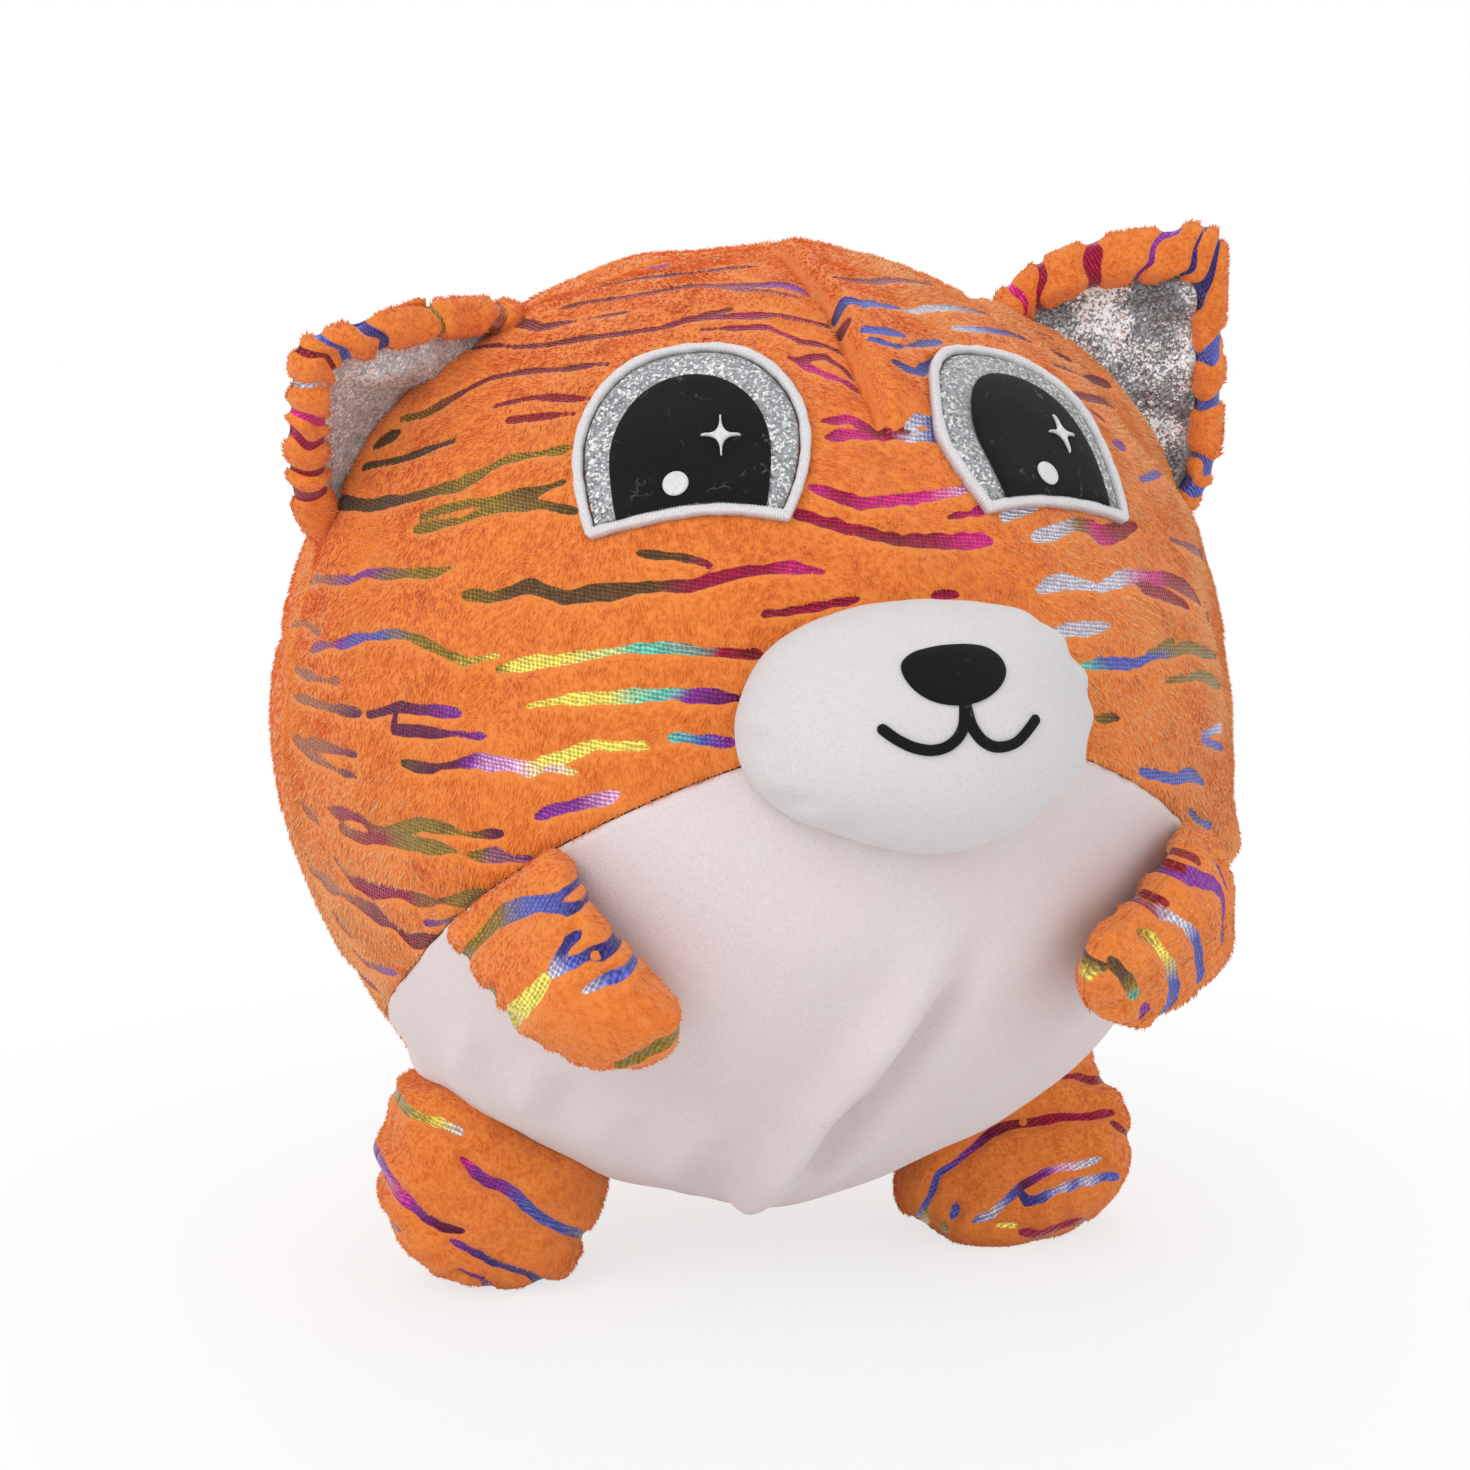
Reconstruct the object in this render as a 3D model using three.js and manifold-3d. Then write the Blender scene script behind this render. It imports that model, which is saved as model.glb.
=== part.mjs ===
// Plush cat ball: a stuffed ball with a face, two ears, two arms and two feet.
// Millimetres, +Z up, the face looks along -Y. Left is the -X side, right the +X side.
// Every piece is drawn about the ball's centre, then the whole toy is set on its soles.

import * as THREE from "three";
import { mergeVertices } from "three/addons/utils/BufferGeometryUtils.js";
import Module from "manifold-3d";

const wasm = await Module();
wasm.setup();

// Ball and its cloth
const BALL_RADIUS = 113;
const LOWER_DRAW_IN = 3.4;
const PLUSH = 3;
const SEAM = 0.5;
const SEAT = 0.3;
const BALL_DETAIL = 6;

// Seams between the four panels of the ball, elevations in degrees
const SIDE_SEAM_FORWARD = 8;
const FACE_SEAM_TOP = 8.5;
const FACE_SEAM_SIDE = -50;
const FACE_SEAM_POWER = 1.745;
const FACE_SEAM_STEPS = 40;
const SEAM_REACH = 12;
const DART_END = 42;
const DART_WIDTH = 1.2;

// Eyes: sewn patches on the face, azimuth, elevation and tilt in degrees
const EYE_AZIMUTH = 25.1;
const EYE_ELEVATION = 40;
const EYE_TILT = -6.8;
const EYE_HALF_WIDTH = 22.2;
const EYE_CORNER = 19.6;
const EYE_TOP = 23.2;
const EYE_BOTTOM = -20.4;
const EYE_BOTTOM_BOW = 3;
const EYE_WAIST = -1;
const BORDER_WIDTH = 3.1;
const BORDER_HEIGHT = 1.8;
const BORDER_SECTION = [[-0.5, 0], [0.5, 0], [0.5, 0.55], [0, 1], [-0.5, 0.55]];
const GLITTER_THICKNESS = 0.8;
const PUPIL_HALF_WIDTH = 15.4;
const PUPIL_CORNER = 14.3;
const PUPIL_TOP = 14.4;
const PUPIL_BOTTOM = -16.6;
const PUPIL_BOTTOM_BOW = 2;
const PUPIL_WAIST = -5;
const PUPIL_THICKNESS = 0.8;
const GLEAM_THICKNESS = 0.6;
const STAR_REACH = 4.2;
const STAR_HEIGHT = 4.9;
const STAR_POWER = 3.4;
const STAR_SIDE = 6;
const STAR_UP = -1.8;
const DOT_RADIUS = 3;
const DOT_SIDE = -3;
const DOT_UP = -12.4;
const PATCH_AROUND = 30;
const DOT_AROUND = 10;
const PATCH_RINGS = [0.5, 1];

// Muzzle, nose and mouth
const MUZZLE_ELEVATION = 8.5;
const MUZZLE_HALF_WIDTH = 37.5;
const MUZZLE_HALF_HEIGHT = 24.5;
const MUZZLE_SQUARENESS = 2.3;
const MUZZLE_REACH = 22;
const MUZZLE_PLUSH = 2.2;
const MUZZLE_ROUND = 2.4;
const MUZZLE_FULLNESS = 0.6;
const MUZZLE_AROUND = 26;
const MUZZLE_RINGS = [0.35, 0.65, 0.87, 0.97, 1];
const NOSE_SIDE = -0.8;
const NOSE_UP = 8.6;
const NOSE_HALF_WIDTH = 9.4;
const NOSE_TOP = 4.6;
const NOSE_DROP = 5.4;
const NOSE_THICKNESS = 0.8;
const MOUTH_REACH = 13.2;
const MOUTH_END_UP = 1;
const MOUTH_SAG = -8;
const MOUTH_SAG_SIDE = 5.5;
const MOUTH_CENTRE_UP = 2.6;
const MOUTH_WIDTH = 2.3;
const MOUTH_THICKNESS = 0.8;
const MOUTH_STEPS = 12;

// Ears: a plush tray with a rolled rim and a glitter lining, angles in degrees
const EAR_FORWARD = 10;
const EAR_ELEVATION = 42.5;
const EAR_HALF_BASE = 35;
const EAR_HEIGHT = 53;
const EAR_TIP_ROUND = 12;
const EAR_SIDE_BOW = 9;
const EAR_ROOT = -4;
const EAR_RIM_HALF = 5;
const EAR_BACK = 4;
const EAR_FLOOR = -1;
const EAR_RIM_START = 0.74;
const EAR_LINING = 1.2;
const EAR_LEAN = { left: 43, right: 21 };
const EAR_TIP_SHIFT = { left: 8, right: -16 };
const EAR_FOLD = 20;
const EAR_FOLD_STEPS = 4;
const EAR_AROUND = 28;
const EAR_FLOOR_RING = 0.4;
const EAR_RIM_RINGS = [0.15, 0.5, 0.85, 1];
const EAR_BACK_ROUND = 4;

// Arms: stuffed pillows sewn in the face seam, lying on the belly
const ARM_AZIMUTH = 43.5;
const ARM_ELEVATION = -9.2;
const ARM_TURN = 52;
const ARM_HALF_ROOT = 15.5;
const ARM_HALF_WIDTH = 15.5;
const ARM_LENGTH = 44;
const ARM_STRAIGHT = 26;
const ARM_HALF_THICKNESS = 10.5;
const ARM_RISE = 20;
const ARM_SWING = 60;
const ARM_SWING_STEPS = 6;
const ARM_AROUND = 22;
const ARM_EDGE_RINGS = [0.95, 1];

// Feet: stuffed pillows sewn by the side seam, the toy stands on their lower edges
const FOOT_FORWARD = 2;
const FOOT_SPLAY = 32.8;
const FOOT_HALF_WIDTH = 28.5;
const FOOT_REACH = 34;
const FOOT_ROOT = -7;
const FOOT_SQUARENESS = 2.8;
const FOOT_HALF_THICKNESS = 22;
const FOOT_SWING = 10;
const FOOT_SWING_STEPS = 4;
const FOOT_AROUND = 22;
const FOOT_EDGE_RINGS = [0.92, 0.975, 1];
const SOLE_FLAT = 0.5;

// Pillows: edge left at the seam, roundness of the swelling, room at a sewn root
const PILLOW_EDGE = 1.2;
const ARM_ROUND = 2.3;
const FOOT_ROUND = 3;
const FILL_EDGE = 0.3;
const FILL_RINGS = [0.5, 0.82, 1];
const ROOT_ROOM = 0.5;

// Materials
const ORANGE = { color: 0xe8812c, roughness: 0.9, metalness: 0 };
const WHITE = { color: 0xe4dcdc, roughness: 0.9, metalness: 0 };
const STUFFING = { color: 0xf2f1ec, roughness: 1, metalness: 0 };
const SILVER = { color: 0xb4b5b8, roughness: 0.45, metalness: 0.6 };
const BLACK = { color: 0x121213, roughness: 0.9, metalness: 0 };
const THREAD = { color: 0xf3f0f2, roughness: 0.6, metalness: 0 };

const FRONT = new THREE.Vector3(0, -1, 0);
const degrees = THREE.MathUtils.degToRad;

/** Unit direction at an azimuth from the front towards +X and an elevation. */
function direction(azimuth, elevation) {
  const a = degrees(azimuth);
  const e = degrees(elevation);
  return new THREE.Vector3(Math.sin(a) * Math.cos(e), -Math.cos(a) * Math.cos(e), Math.sin(e));
}

/** A point above the cloth: the ball is round but drawn in around its lower sides. */
function onBall(unit, height) {
  const low = Math.max(0, -unit.z) ** 2;
  const radius = BALL_RADIUS - LOWER_DRAW_IN * 4 * low * (1 - low);
  return unit.clone().multiplyScalar(radius + height);
}

/** The ball's surface raised by a height, as flat facets. */
function ballGeometry(height) {
  const geometry = new THREE.IcosahedronGeometry(1, BALL_DETAIL);
  const place = geometry.getAttribute("position");
  const unit = new THREE.Vector3();
  for (let i = 0; i < place.count; i += 1) {
    unit.fromBufferAttribute(place, i).normalize();
    const point = onBall(unit, height);
    place.setXYZ(i, point.x, point.y, point.z);
  }
  return geometry;
}

/** A chart on the ball: u runs along the given tangent, v is turned a quarter from it, w is out. */
function ballChart(middle, across, lift = () => 0) {
  const up = new THREE.Vector3().crossVectors(middle, across);
  return (u, v, w) => {
    const arc = Math.hypot(u, v);
    const share = arc > 0 ? Math.sin(arc / BALL_RADIUS) / arc : 0;
    const unit = middle.clone().multiplyScalar(Math.cos(arc / BALL_RADIUS));
    unit.addScaledVector(across, u * share).addScaledVector(up, v * share);
    return onBall(unit, w + lift(u, v));
  };
}

/** A flat chart: three axes from an origin. */
function flatChart(origin, across, up, out) {
  return (u, v, w) => {
    const point = origin.clone();
    return point.addScaledVector(across, u).addScaledVector(up, v).addScaledVector(out, w);
  };
}

/** A closed geometry from points and triangles. */
function closedGeometry(points, index) {
  const geometry = new THREE.BufferGeometry();
  geometry.setFromPoints(points);
  geometry.setIndex(index);
  return geometry;
}

/** Quads between neighbouring closed loops of the same length, split the other way from one on. */
function loopFaces(loops, length, wrap, turnAt = loops) {
  const index = [];
  const count = wrap ? loops : loops - 1;
  for (let i = 0; i < count; i += 1) {
    const here = i * length;
    const next = ((i + 1) % loops) * length;
    for (let j = 0; j < length; j += 1) {
      const k = (j + 1) % length;
      const lower = i < turnAt ? [next + k, here + j, next + k] : [here + k, next + j, next + k];
      index.push(here + j, next + j, ...lower, here + k);
    }
  }
  return index;
}

/** A pad: scaled copies of a closed outline about its middle, a height above and one below. */
function pad({ outline, middle, rings, top, bottom, place }) {
  const points = [];
  const ring = (share, height) => {
    outline.forEach((p) => {
      const u = middle.x + share * (p.x - middle.x);
      const v = middle.y + share * (p.y - middle.y);
      points.push(place(u, v, height(share, v)));
    });
  };
  rings.forEach((share) => ring(share, top));
  [...rings].reverse().forEach((share) => ring(share, bottom));
  const loops = 2 * rings.length;
  const length = outline.length;
  const index = loopFaces(loops, length, false, rings.length);
  const crown = points.length;
  points.push(place(middle.x, middle.y, top(0, middle.y)));
  points.push(place(middle.x, middle.y, bottom(0, middle.y)));
  const last = (loops - 1) * length;
  for (let j = 0; j < length; j += 1) {
    const k = (j + 1) % length;
    index.push(crown, j, k, crown + 1, last + k, last + j);
  }
  return closedGeometry(points, index);
}

/** A raised cord of stitches along a closed outline, flat underneath. */
function stitchRing(outline, width, height, place) {
  const length = outline.length;
  const points = [];
  outline.forEach((p, i) => {
    const along = outline[(i + 1) % length].clone().sub(outline[(i + length - 1) % length]).normalize();
    BORDER_SECTION.forEach(([across, rise]) => {
      const u = p.x + along.y * across * width;
      const v = p.y - along.x * across * width;
      points.push(place(u, v, SEAT + rise * height));
    });
  });
  return closedGeometry(points, loopFaces(length, BORDER_SECTION.length, true));
}

/** A flat band of stitches along an open path. */
function stitchBand(path, width, low, high, place) {
  const points = [];
  path.forEach((p, i) => {
    const before = path[Math.max(0, i - 1)];
    const after = path[Math.min(path.length - 1, i + 1)];
    const along = after.clone().sub(before).normalize();
    [[0.5, low], [0.5, high], [-0.5, high], [-0.5, low]].forEach(([across, w]) => {
      points.push(place(p.x + along.y * across * width, p.y - along.x * across * width, w));
    });
  });
  const index = loopFaces(path.length, 4, false);
  const end = 4 * (path.length - 1);
  index.push(0, 1, 2, 0, 2, 3, end, end + 2, end + 1, end, end + 3, end + 2);
  return closedGeometry(points, index);
}

/** The solid of a closed geometry. */
function solid(geometry) {
  const bare = geometry.clone();
  bare.deleteAttribute("normal");
  bare.deleteAttribute("uv");
  const merged = mergeVertices(bare, 1e-4);
  const vertProperties = new Float32Array(merged.getAttribute("position").array);
  const triVerts = new Uint32Array(merged.getIndex().array);
  return new wasm.Manifold(new wasm.Mesh({ numProp: 3, vertProperties, triVerts }));
}

/** The geometry of a solid. */
function shapeOf(body) {
  const mesh = body.getMesh();
  const geometry = new THREE.BufferGeometry();
  geometry.setAttribute("position", new THREE.BufferAttribute(new Float32Array(mesh.vertProperties), 3));
  geometry.setIndex(new THREE.BufferAttribute(new Uint32Array(mesh.triVerts), 1));
  return geometry;
}

const toy = new THREE.Group();

/** Adds one named piece to the toy, mirrored to the left side where asked. */
function addPiece(name, geometry, look, mirrored = false) {
  const mesh = new THREE.Mesh(geometry, new THREE.MeshStandardMaterial(look));
  mesh.name = name;
  mesh.scale.x = mirrored ? -1 : 1;
  toy.add(mesh);
}

/** A block between two corners. */
function block(low, high) {
  const size = high.clone().sub(low);
  const geometry = new THREE.BoxGeometry(size.x, size.y, size.z);
  geometry.translate((low.x + high.x) / 2, (low.y + high.y) / 2, (low.z + high.z) / 2);
  return solid(geometry);
}

/** Elevation of the seam between face and belly at an azimuth. */
function faceSeam(azimuth) {
  const drop = FACE_SEAM_TOP - FACE_SEAM_SIDE;
  return FACE_SEAM_TOP - drop * (Math.abs(azimuth) / 90) ** FACE_SEAM_POWER;
}

/** A thin sheet through the ball's wall along the seam between face and belly. */
function faceSeamSheet() {
  const half = THREE.MathUtils.radToDeg(SEAM / 2 / BALL_RADIUS);
  const points = [];
  for (let i = 0; i <= FACE_SEAM_STEPS; i += 1) {
    const azimuth = -90 + (180 * i) / FACE_SEAM_STEPS;
    const low = direction(azimuth, faceSeam(azimuth) - half);
    const high = direction(azimuth, faceSeam(azimuth) + half);
    points.push(onBall(low, -SEAM_REACH), onBall(low, SEAM_REACH));
    points.push(onBall(high, SEAM_REACH), onBall(high, -SEAM_REACH));
  }
  const index = loopFaces(FACE_SEAM_STEPS + 1, 4, false);
  const end = 4 * FACE_SEAM_STEPS;
  index.push(0, 1, 2, 0, 2, 3, end, end + 2, end + 1, end, end + 3, end + 2);
  return solid(closedGeometry(points, index));
}

/** The four sewn panels of the ball, by name. */
function ballPanels() {
  const far = 2 * BALL_RADIUS;
  const wall = solid(ballGeometry(0)).subtract(solid(ballGeometry(-PLUSH)));
  const seam = -SIDE_SEAM_FORWARD;
  const dartEnd = direction(0, DART_END).y * BALL_RADIUS;
  const corner = (x, y, z) => new THREE.Vector3(x, y, z);
  const front = block(corner(-far, -far, -far), corner(far, seam, far));
  const cuts = [
    block(corner(-far, seam - SEAM / 2, -far), corner(far, seam + SEAM / 2, far)),
    block(corner(-SEAM / 2, seam, -far), corner(SEAM / 2, far, far)),
    faceSeamSheet().intersect(front),
    block(corner(-DART_WIDTH / 2, dartEnd, 0), corner(DART_WIDTH / 2, seam, far)),
  ];
  const pieces = wall.subtract(wasm.Manifold.union(cuts)).decompose();
  const panels = {};
  pieces.forEach((piece) => {
    const box = piece.boundingBox();
    const behind = box.max[1] > SIDE_SEAM_FORWARD;
    const side = box.max[0] + box.min[0] < 0 ? "back_left_panel" : "back_right_panel";
    const ahead = box.max[2] > BALL_RADIUS / 2 ? "face_panel" : "belly_panel";
    panels[behind ? side : ahead] = piece;
  });
  return panels;
}

addPiece("ball_stuffing", ballGeometry(-PLUSH - SEAT), STUFFING);
Object.entries(ballPanels()).forEach(([name, piece]) => {
  addPiece(name, shapeOf(piece), name === "belly_panel" ? WHITE : ORANGE);
});

/** A domed patch outline: a half ellipse over sides that draw in to a bowed lower edge. */
function domeOutline(halfWidth, corner, top, bottom, bow, waist) {
  const path = new THREE.Path();
  const flank = (bottom + waist) / 2;
  path.moveTo(-corner, bottom);
  path.quadraticCurveTo(0, bottom + bow, corner, bottom);
  path.quadraticCurveTo(halfWidth, flank, halfWidth, waist);
  path.absellipse(0, waist, halfWidth, top - waist, 0, Math.PI, false);
  path.quadraticCurveTo(-halfWidth, flank, -corner, bottom);
  return path.getSpacedPoints(PATCH_AROUND).slice(0, PATCH_AROUND);
}

/** An outline drawn in evenly by a distance. */
function drawnIn(outline, distance) {
  const length = outline.length;
  return outline.map((p, i) => {
    const along = outline[(i + 1) % length].clone().sub(outline[(i + length - 1) % length]).normalize();
    return new THREE.Vector2(p.x - along.y * distance, p.y + along.x * distance);
  });
}

/** A closed outline from a formula of the turn. */
function turnedOutline(count, formula) {
  return Array.from({ length: count }, (_, i) => formula((2 * Math.PI * i) / count));
}

/** A patch of even thickness lying on the ball. */
function patch(outline, middle, rings, low, thickness, place) {
  return pad({ outline, middle, rings, top: () => low + thickness, bottom: () => low, place });
}

const eyeAcross = (middle) => {
  const level = new THREE.Vector3(-middle.y, middle.x, 0).normalize();
  return level.applyAxisAngle(middle, degrees(EYE_TILT));
};
const eyeMiddle = direction(EYE_AZIMUTH, EYE_ELEVATION);
const onEye = ballChart(eyeMiddle, eyeAcross(eyeMiddle));
const eyeEdge = domeOutline(EYE_HALF_WIDTH, EYE_CORNER, EYE_TOP, EYE_BOTTOM, EYE_BOTTOM_BOW, EYE_WAIST);
const eyeCentre = new THREE.Vector2(0, 0);
const glitterEdge = drawnIn(eyeEdge, BORDER_WIDTH / 2 + SEAT);
const pupilEdge = domeOutline(
  PUPIL_HALF_WIDTH, PUPIL_CORNER, PUPIL_TOP, PUPIL_BOTTOM, PUPIL_BOTTOM_BOW, PUPIL_WAIST,
);
const pupilCentre = new THREE.Vector2(0, PUPIL_WAIST);
const pupilLow = 2 * SEAT + GLITTER_THICKNESS;
const gleamLow = pupilLow + PUPIL_THICKNESS + SEAT;

/** The five pieces of one eye; the gleams sit to the same side in both eyes. */
function addEye(side, mirrored) {
  const turn = mirrored ? -1 : 1;
  const starAt = new THREE.Vector2(turn * STAR_SIDE, STAR_UP);
  const dotAt = new THREE.Vector2(turn * DOT_SIDE, DOT_UP);
  const star = turnedOutline(PATCH_AROUND, (a) => new THREE.Vector2(
    starAt.x + STAR_REACH * Math.sign(Math.cos(a)) * Math.abs(Math.cos(a)) ** STAR_POWER,
    starAt.y + STAR_HEIGHT * Math.sign(Math.sin(a)) * Math.abs(Math.sin(a)) ** STAR_POWER,
  ));
  const dot = turnedOutline(DOT_AROUND, (a) => new THREE.Vector2(
    dotAt.x + DOT_RADIUS * Math.cos(a),
    dotAt.y + DOT_RADIUS * Math.sin(a),
  ));
  addPiece(`${side}_eye_border`, stitchRing(eyeEdge, BORDER_WIDTH, BORDER_HEIGHT, onEye), THREAD, mirrored);
  const glitter = patch(glitterEdge, eyeCentre, PATCH_RINGS, SEAT, GLITTER_THICKNESS, onEye);
  addPiece(`${side}_eye_glitter`, glitter, SILVER, mirrored);
  const pupil = patch(pupilEdge, pupilCentre, PATCH_RINGS, pupilLow, PUPIL_THICKNESS, onEye);
  addPiece(`${side}_eye_pupil`, pupil, BLACK, mirrored);
  addPiece(`${side}_eye_star`, patch(star, starAt, [1], gleamLow, GLEAM_THICKNESS, onEye), THREAD, mirrored);
  addPiece(`${side}_eye_dot`, patch(dot, dotAt, [1], gleamLow, GLEAM_THICKNESS, onEye), THREAD, mirrored);
}

addEye("left", true);
addEye("right", false);

const onMuzzle = ballChart(direction(0, MUZZLE_ELEVATION), new THREE.Vector3(1, 0, 0));

/** A point of a rounded rectangle-like oval at a turn. */
function oval(halfWidth, halfHeight, squareness, a) {
  const reach = (value) => Math.sign(value) * Math.abs(value) ** (2 / squareness);
  return new THREE.Vector2(halfWidth * reach(Math.cos(a)), halfHeight * reach(Math.sin(a)));
}

/** Height of the muzzle's dome at a share of the way from its middle to its edge. */
function muzzleDome(share) {
  return MUZZLE_REACH * (1 - Math.min(1, share) ** MUZZLE_ROUND) ** MUZZLE_FULLNESS;
}

/** Share of the way from the muzzle's middle to its edge at a point of its chart. */
function muzzleShare(u, v) {
  const across = Math.abs(u / MUZZLE_HALF_WIDTH) ** MUZZLE_SQUARENESS;
  const up = Math.abs(v / MUZZLE_HALF_HEIGHT) ** MUZZLE_SQUARENESS;
  return (across + up) ** (1 / MUZZLE_SQUARENESS);
}

const muzzleEdge = turnedOutline(MUZZLE_AROUND, (a) => (
  oval(MUZZLE_HALF_WIDTH, MUZZLE_HALF_HEIGHT, MUZZLE_SQUARENESS, a)
));
const muzzleHollow = turnedOutline(MUZZLE_AROUND, (a) => (
  oval(MUZZLE_HALF_WIDTH - MUZZLE_PLUSH, MUZZLE_HALF_HEIGHT - MUZZLE_PLUSH, MUZZLE_SQUARENESS, a)
));
const muzzleFill = turnedOutline(MUZZLE_AROUND, (a) => oval(
  MUZZLE_HALF_WIDTH - MUZZLE_PLUSH - SEAT,
  MUZZLE_HALF_HEIGHT - MUZZLE_PLUSH - SEAT,
  MUZZLE_SQUARENESS,
  a,
));
const origin = new THREE.Vector2(0, 0);
const muzzleInside = (share) => Math.max(SEAT + FILL_EDGE, muzzleDome(share) - MUZZLE_PLUSH + SEAT);
const muzzleOuter = pad({
  outline: muzzleEdge,
  middle: origin,
  rings: MUZZLE_RINGS,
  top: (share) => SEAT + MUZZLE_PLUSH / 2 + muzzleDome(share),
  bottom: () => SEAT,
  place: onMuzzle,
});
const muzzleInner = pad({
  outline: muzzleHollow,
  middle: origin,
  rings: MUZZLE_RINGS,
  top: (share) => SEAT + muzzleInside(share),
  bottom: () => -PLUSH,
  place: onMuzzle,
});
const muzzleFilling = pad({
  outline: muzzleFill,
  middle: origin,
  rings: MUZZLE_RINGS,
  top: muzzleInside,
  bottom: () => SEAT,
  place: onMuzzle,
});
addPiece("muzzle_cover", shapeOf(solid(muzzleOuter).subtract(solid(muzzleInner))), WHITE);
addPiece("muzzle_stuffing", muzzleFilling, STUFFING);

const muzzleTop = (u, v) => SEAT + MUZZLE_PLUSH / 2 + muzzleDome(muzzleShare(u, v));
const onMuzzleTop = ballChart(direction(0, MUZZLE_ELEVATION), new THREE.Vector3(1, 0, 0), muzzleTop);
const noseAt = new THREE.Vector2(NOSE_SIDE, NOSE_UP);
const noseEdge = turnedOutline(PATCH_AROUND, (a) => new THREE.Vector2(
  NOSE_SIDE + NOSE_HALF_WIDTH * Math.cos(a),
  NOSE_UP + (Math.sin(a) > 0 ? NOSE_TOP : NOSE_DROP) * Math.sin(a),
));
addPiece("nose_patch", patch(noseEdge, noseAt, PATCH_RINGS, SEAT, NOSE_THICKNESS, onMuzzleTop), BLACK);

/** The mouth: a bowed line to each side from a short stem under the nose. */
function mouthBody() {
  const high = SEAT + MOUTH_THICKNESS;
  const bows = [-1, 1].map((side) => new THREE.QuadraticBezierCurve(
    new THREE.Vector2(side * MOUTH_REACH, MOUTH_END_UP),
    new THREE.Vector2(side * MOUTH_SAG_SIDE, MOUTH_SAG),
    new THREE.Vector2(0, MOUTH_CENTRE_UP),
  ));
  const bands = bows.map((bow) => (
    solid(stitchBand(bow.getSpacedPoints(MOUTH_STEPS), MOUTH_WIDTH, SEAT, high, onMuzzleTop))
  ));
  return bands[0].add(bands[1]);
}

addPiece("mouth_embroidery", shapeOf(mouthBody()), BLACK);

/** The ball with room round it, turned about a hinge through each step of a range. */
function sweptBall(room, hinge, from, to, steps) {
  const turned = Array.from({ length: steps + 1 }, (_, i) => {
    const geometry = ballGeometry(room);
    const turn = new THREE.Matrix4().makeRotationAxis(hinge.axis, -degrees(from + ((to - from) * i) / steps));
    geometry.translate(-hinge.at.x, -hinge.at.y, -hinge.at.z);
    geometry.applyMatrix4(turn);
    geometry.translate(hinge.at.x, hinge.at.y, hinge.at.z);
    return solid(geometry);
  });
  return wasm.Manifold.union(turned);
}

/** A stuffed pillow: two sewn panels and the stuffing between them, on a chart. */
function pillow({ outline, middle, halfWidth, halfThickness, round, edgeRings, place }) {
  const bulge = (share) => Math.max(0, 1 - share ** round) ** (1 / round);
  const hollow = halfThickness - PLUSH - SEAM / 2;
  const hollowShare = 1 - PLUSH / halfWidth;
  const outside = (share) => PILLOW_EDGE + (halfThickness - PILLOW_EDGE) * bulge(share);
  const inside = (share) => SEAM / 2 + hollow * bulge(share / hollowShare);
  const fillShare = hollowShare * bulge((SEAT + FILL_EDGE - SEAM / 2) / hollow);
  const fillRings = FILL_RINGS.map((share) => share * fillShare);
  const rings = [...fillRings, ...edgeRings];
  const base = { outline, middle, place };
  return {
    upper: pad({ ...base, rings, top: outside, bottom: inside }),
    lower: pad({ ...base, rings, top: (share) => -inside(share), bottom: (share) => -outside(share) }),
    filling: pad({
      ...base,
      rings: fillRings,
      top: (share) => inside(share) - SEAT,
      bottom: (share) => SEAT - inside(share),
    }),
  };
}

const hinges = {};

/** Adds the three pieces of a limb, cleared of the ball through its swing. */
function addLimb(names, pieces, clearance, mirrored) {
  const looks = [ORANGE, ORANGE, STUFFING];
  [pieces.upper, pieces.lower, pieces.filling].forEach((geometry, i) => {
    addPiece(names[i], shapeOf(solid(geometry).subtract(clearance)), looks[i], mirrored);
  });
}

const armMiddle = direction(ARM_AZIMUTH, ARM_ELEVATION);
const armLevel = new THREE.Vector3(-armMiddle.y, armMiddle.x, 0).normalize();
const armAcross = armLevel.applyAxisAngle(armMiddle, Math.PI - degrees(ARM_TURN));
const armLift = (u, v) => {
  const rise = THREE.MathUtils.smoothstep(v, 0, ARM_RISE);
  return ROOT_ROOM + PILLOW_EDGE + (ARM_HALF_THICKNESS - PILLOW_EDGE) * rise;
};
const armPath = new THREE.Path();
armPath.moveTo(ARM_HALF_ROOT, 0);
armPath.quadraticCurveTo(ARM_HALF_WIDTH, ARM_STRAIGHT / 2, ARM_HALF_WIDTH, ARM_STRAIGHT);
armPath.absellipse(0, ARM_STRAIGHT, ARM_HALF_WIDTH, ARM_LENGTH - ARM_STRAIGHT, 0, Math.PI, false);
armPath.quadraticCurveTo(-ARM_HALF_WIDTH, ARM_STRAIGHT / 2, -ARM_HALF_ROOT, 0);
armPath.closePath();
const armPieces = pillow({
  outline: armPath.getSpacedPoints(ARM_AROUND).slice(0, ARM_AROUND),
  middle: new THREE.Vector2(0, ARM_LENGTH / 2),
  halfWidth: ARM_HALF_WIDTH,
  halfThickness: ARM_HALF_THICKNESS,
  round: ARM_ROUND,
  edgeRings: ARM_EDGE_RINGS,
  place: ballChart(armMiddle, armAcross, armLift),
});
hinges.arm = { at: onBall(armMiddle, ROOT_ROOM), axis: armAcross.clone() };
const armRoom = sweptBall(SEAT, hinges.arm, 0, ARM_SWING, ARM_SWING_STEPS);
["left", "right"].forEach((side) => {
  const names = [`${side}_arm_outer`, `${side}_arm_inner`, `${side}_arm_stuffing`];
  addLimb(names, armPieces, armRoom, side === "left");
});

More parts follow.
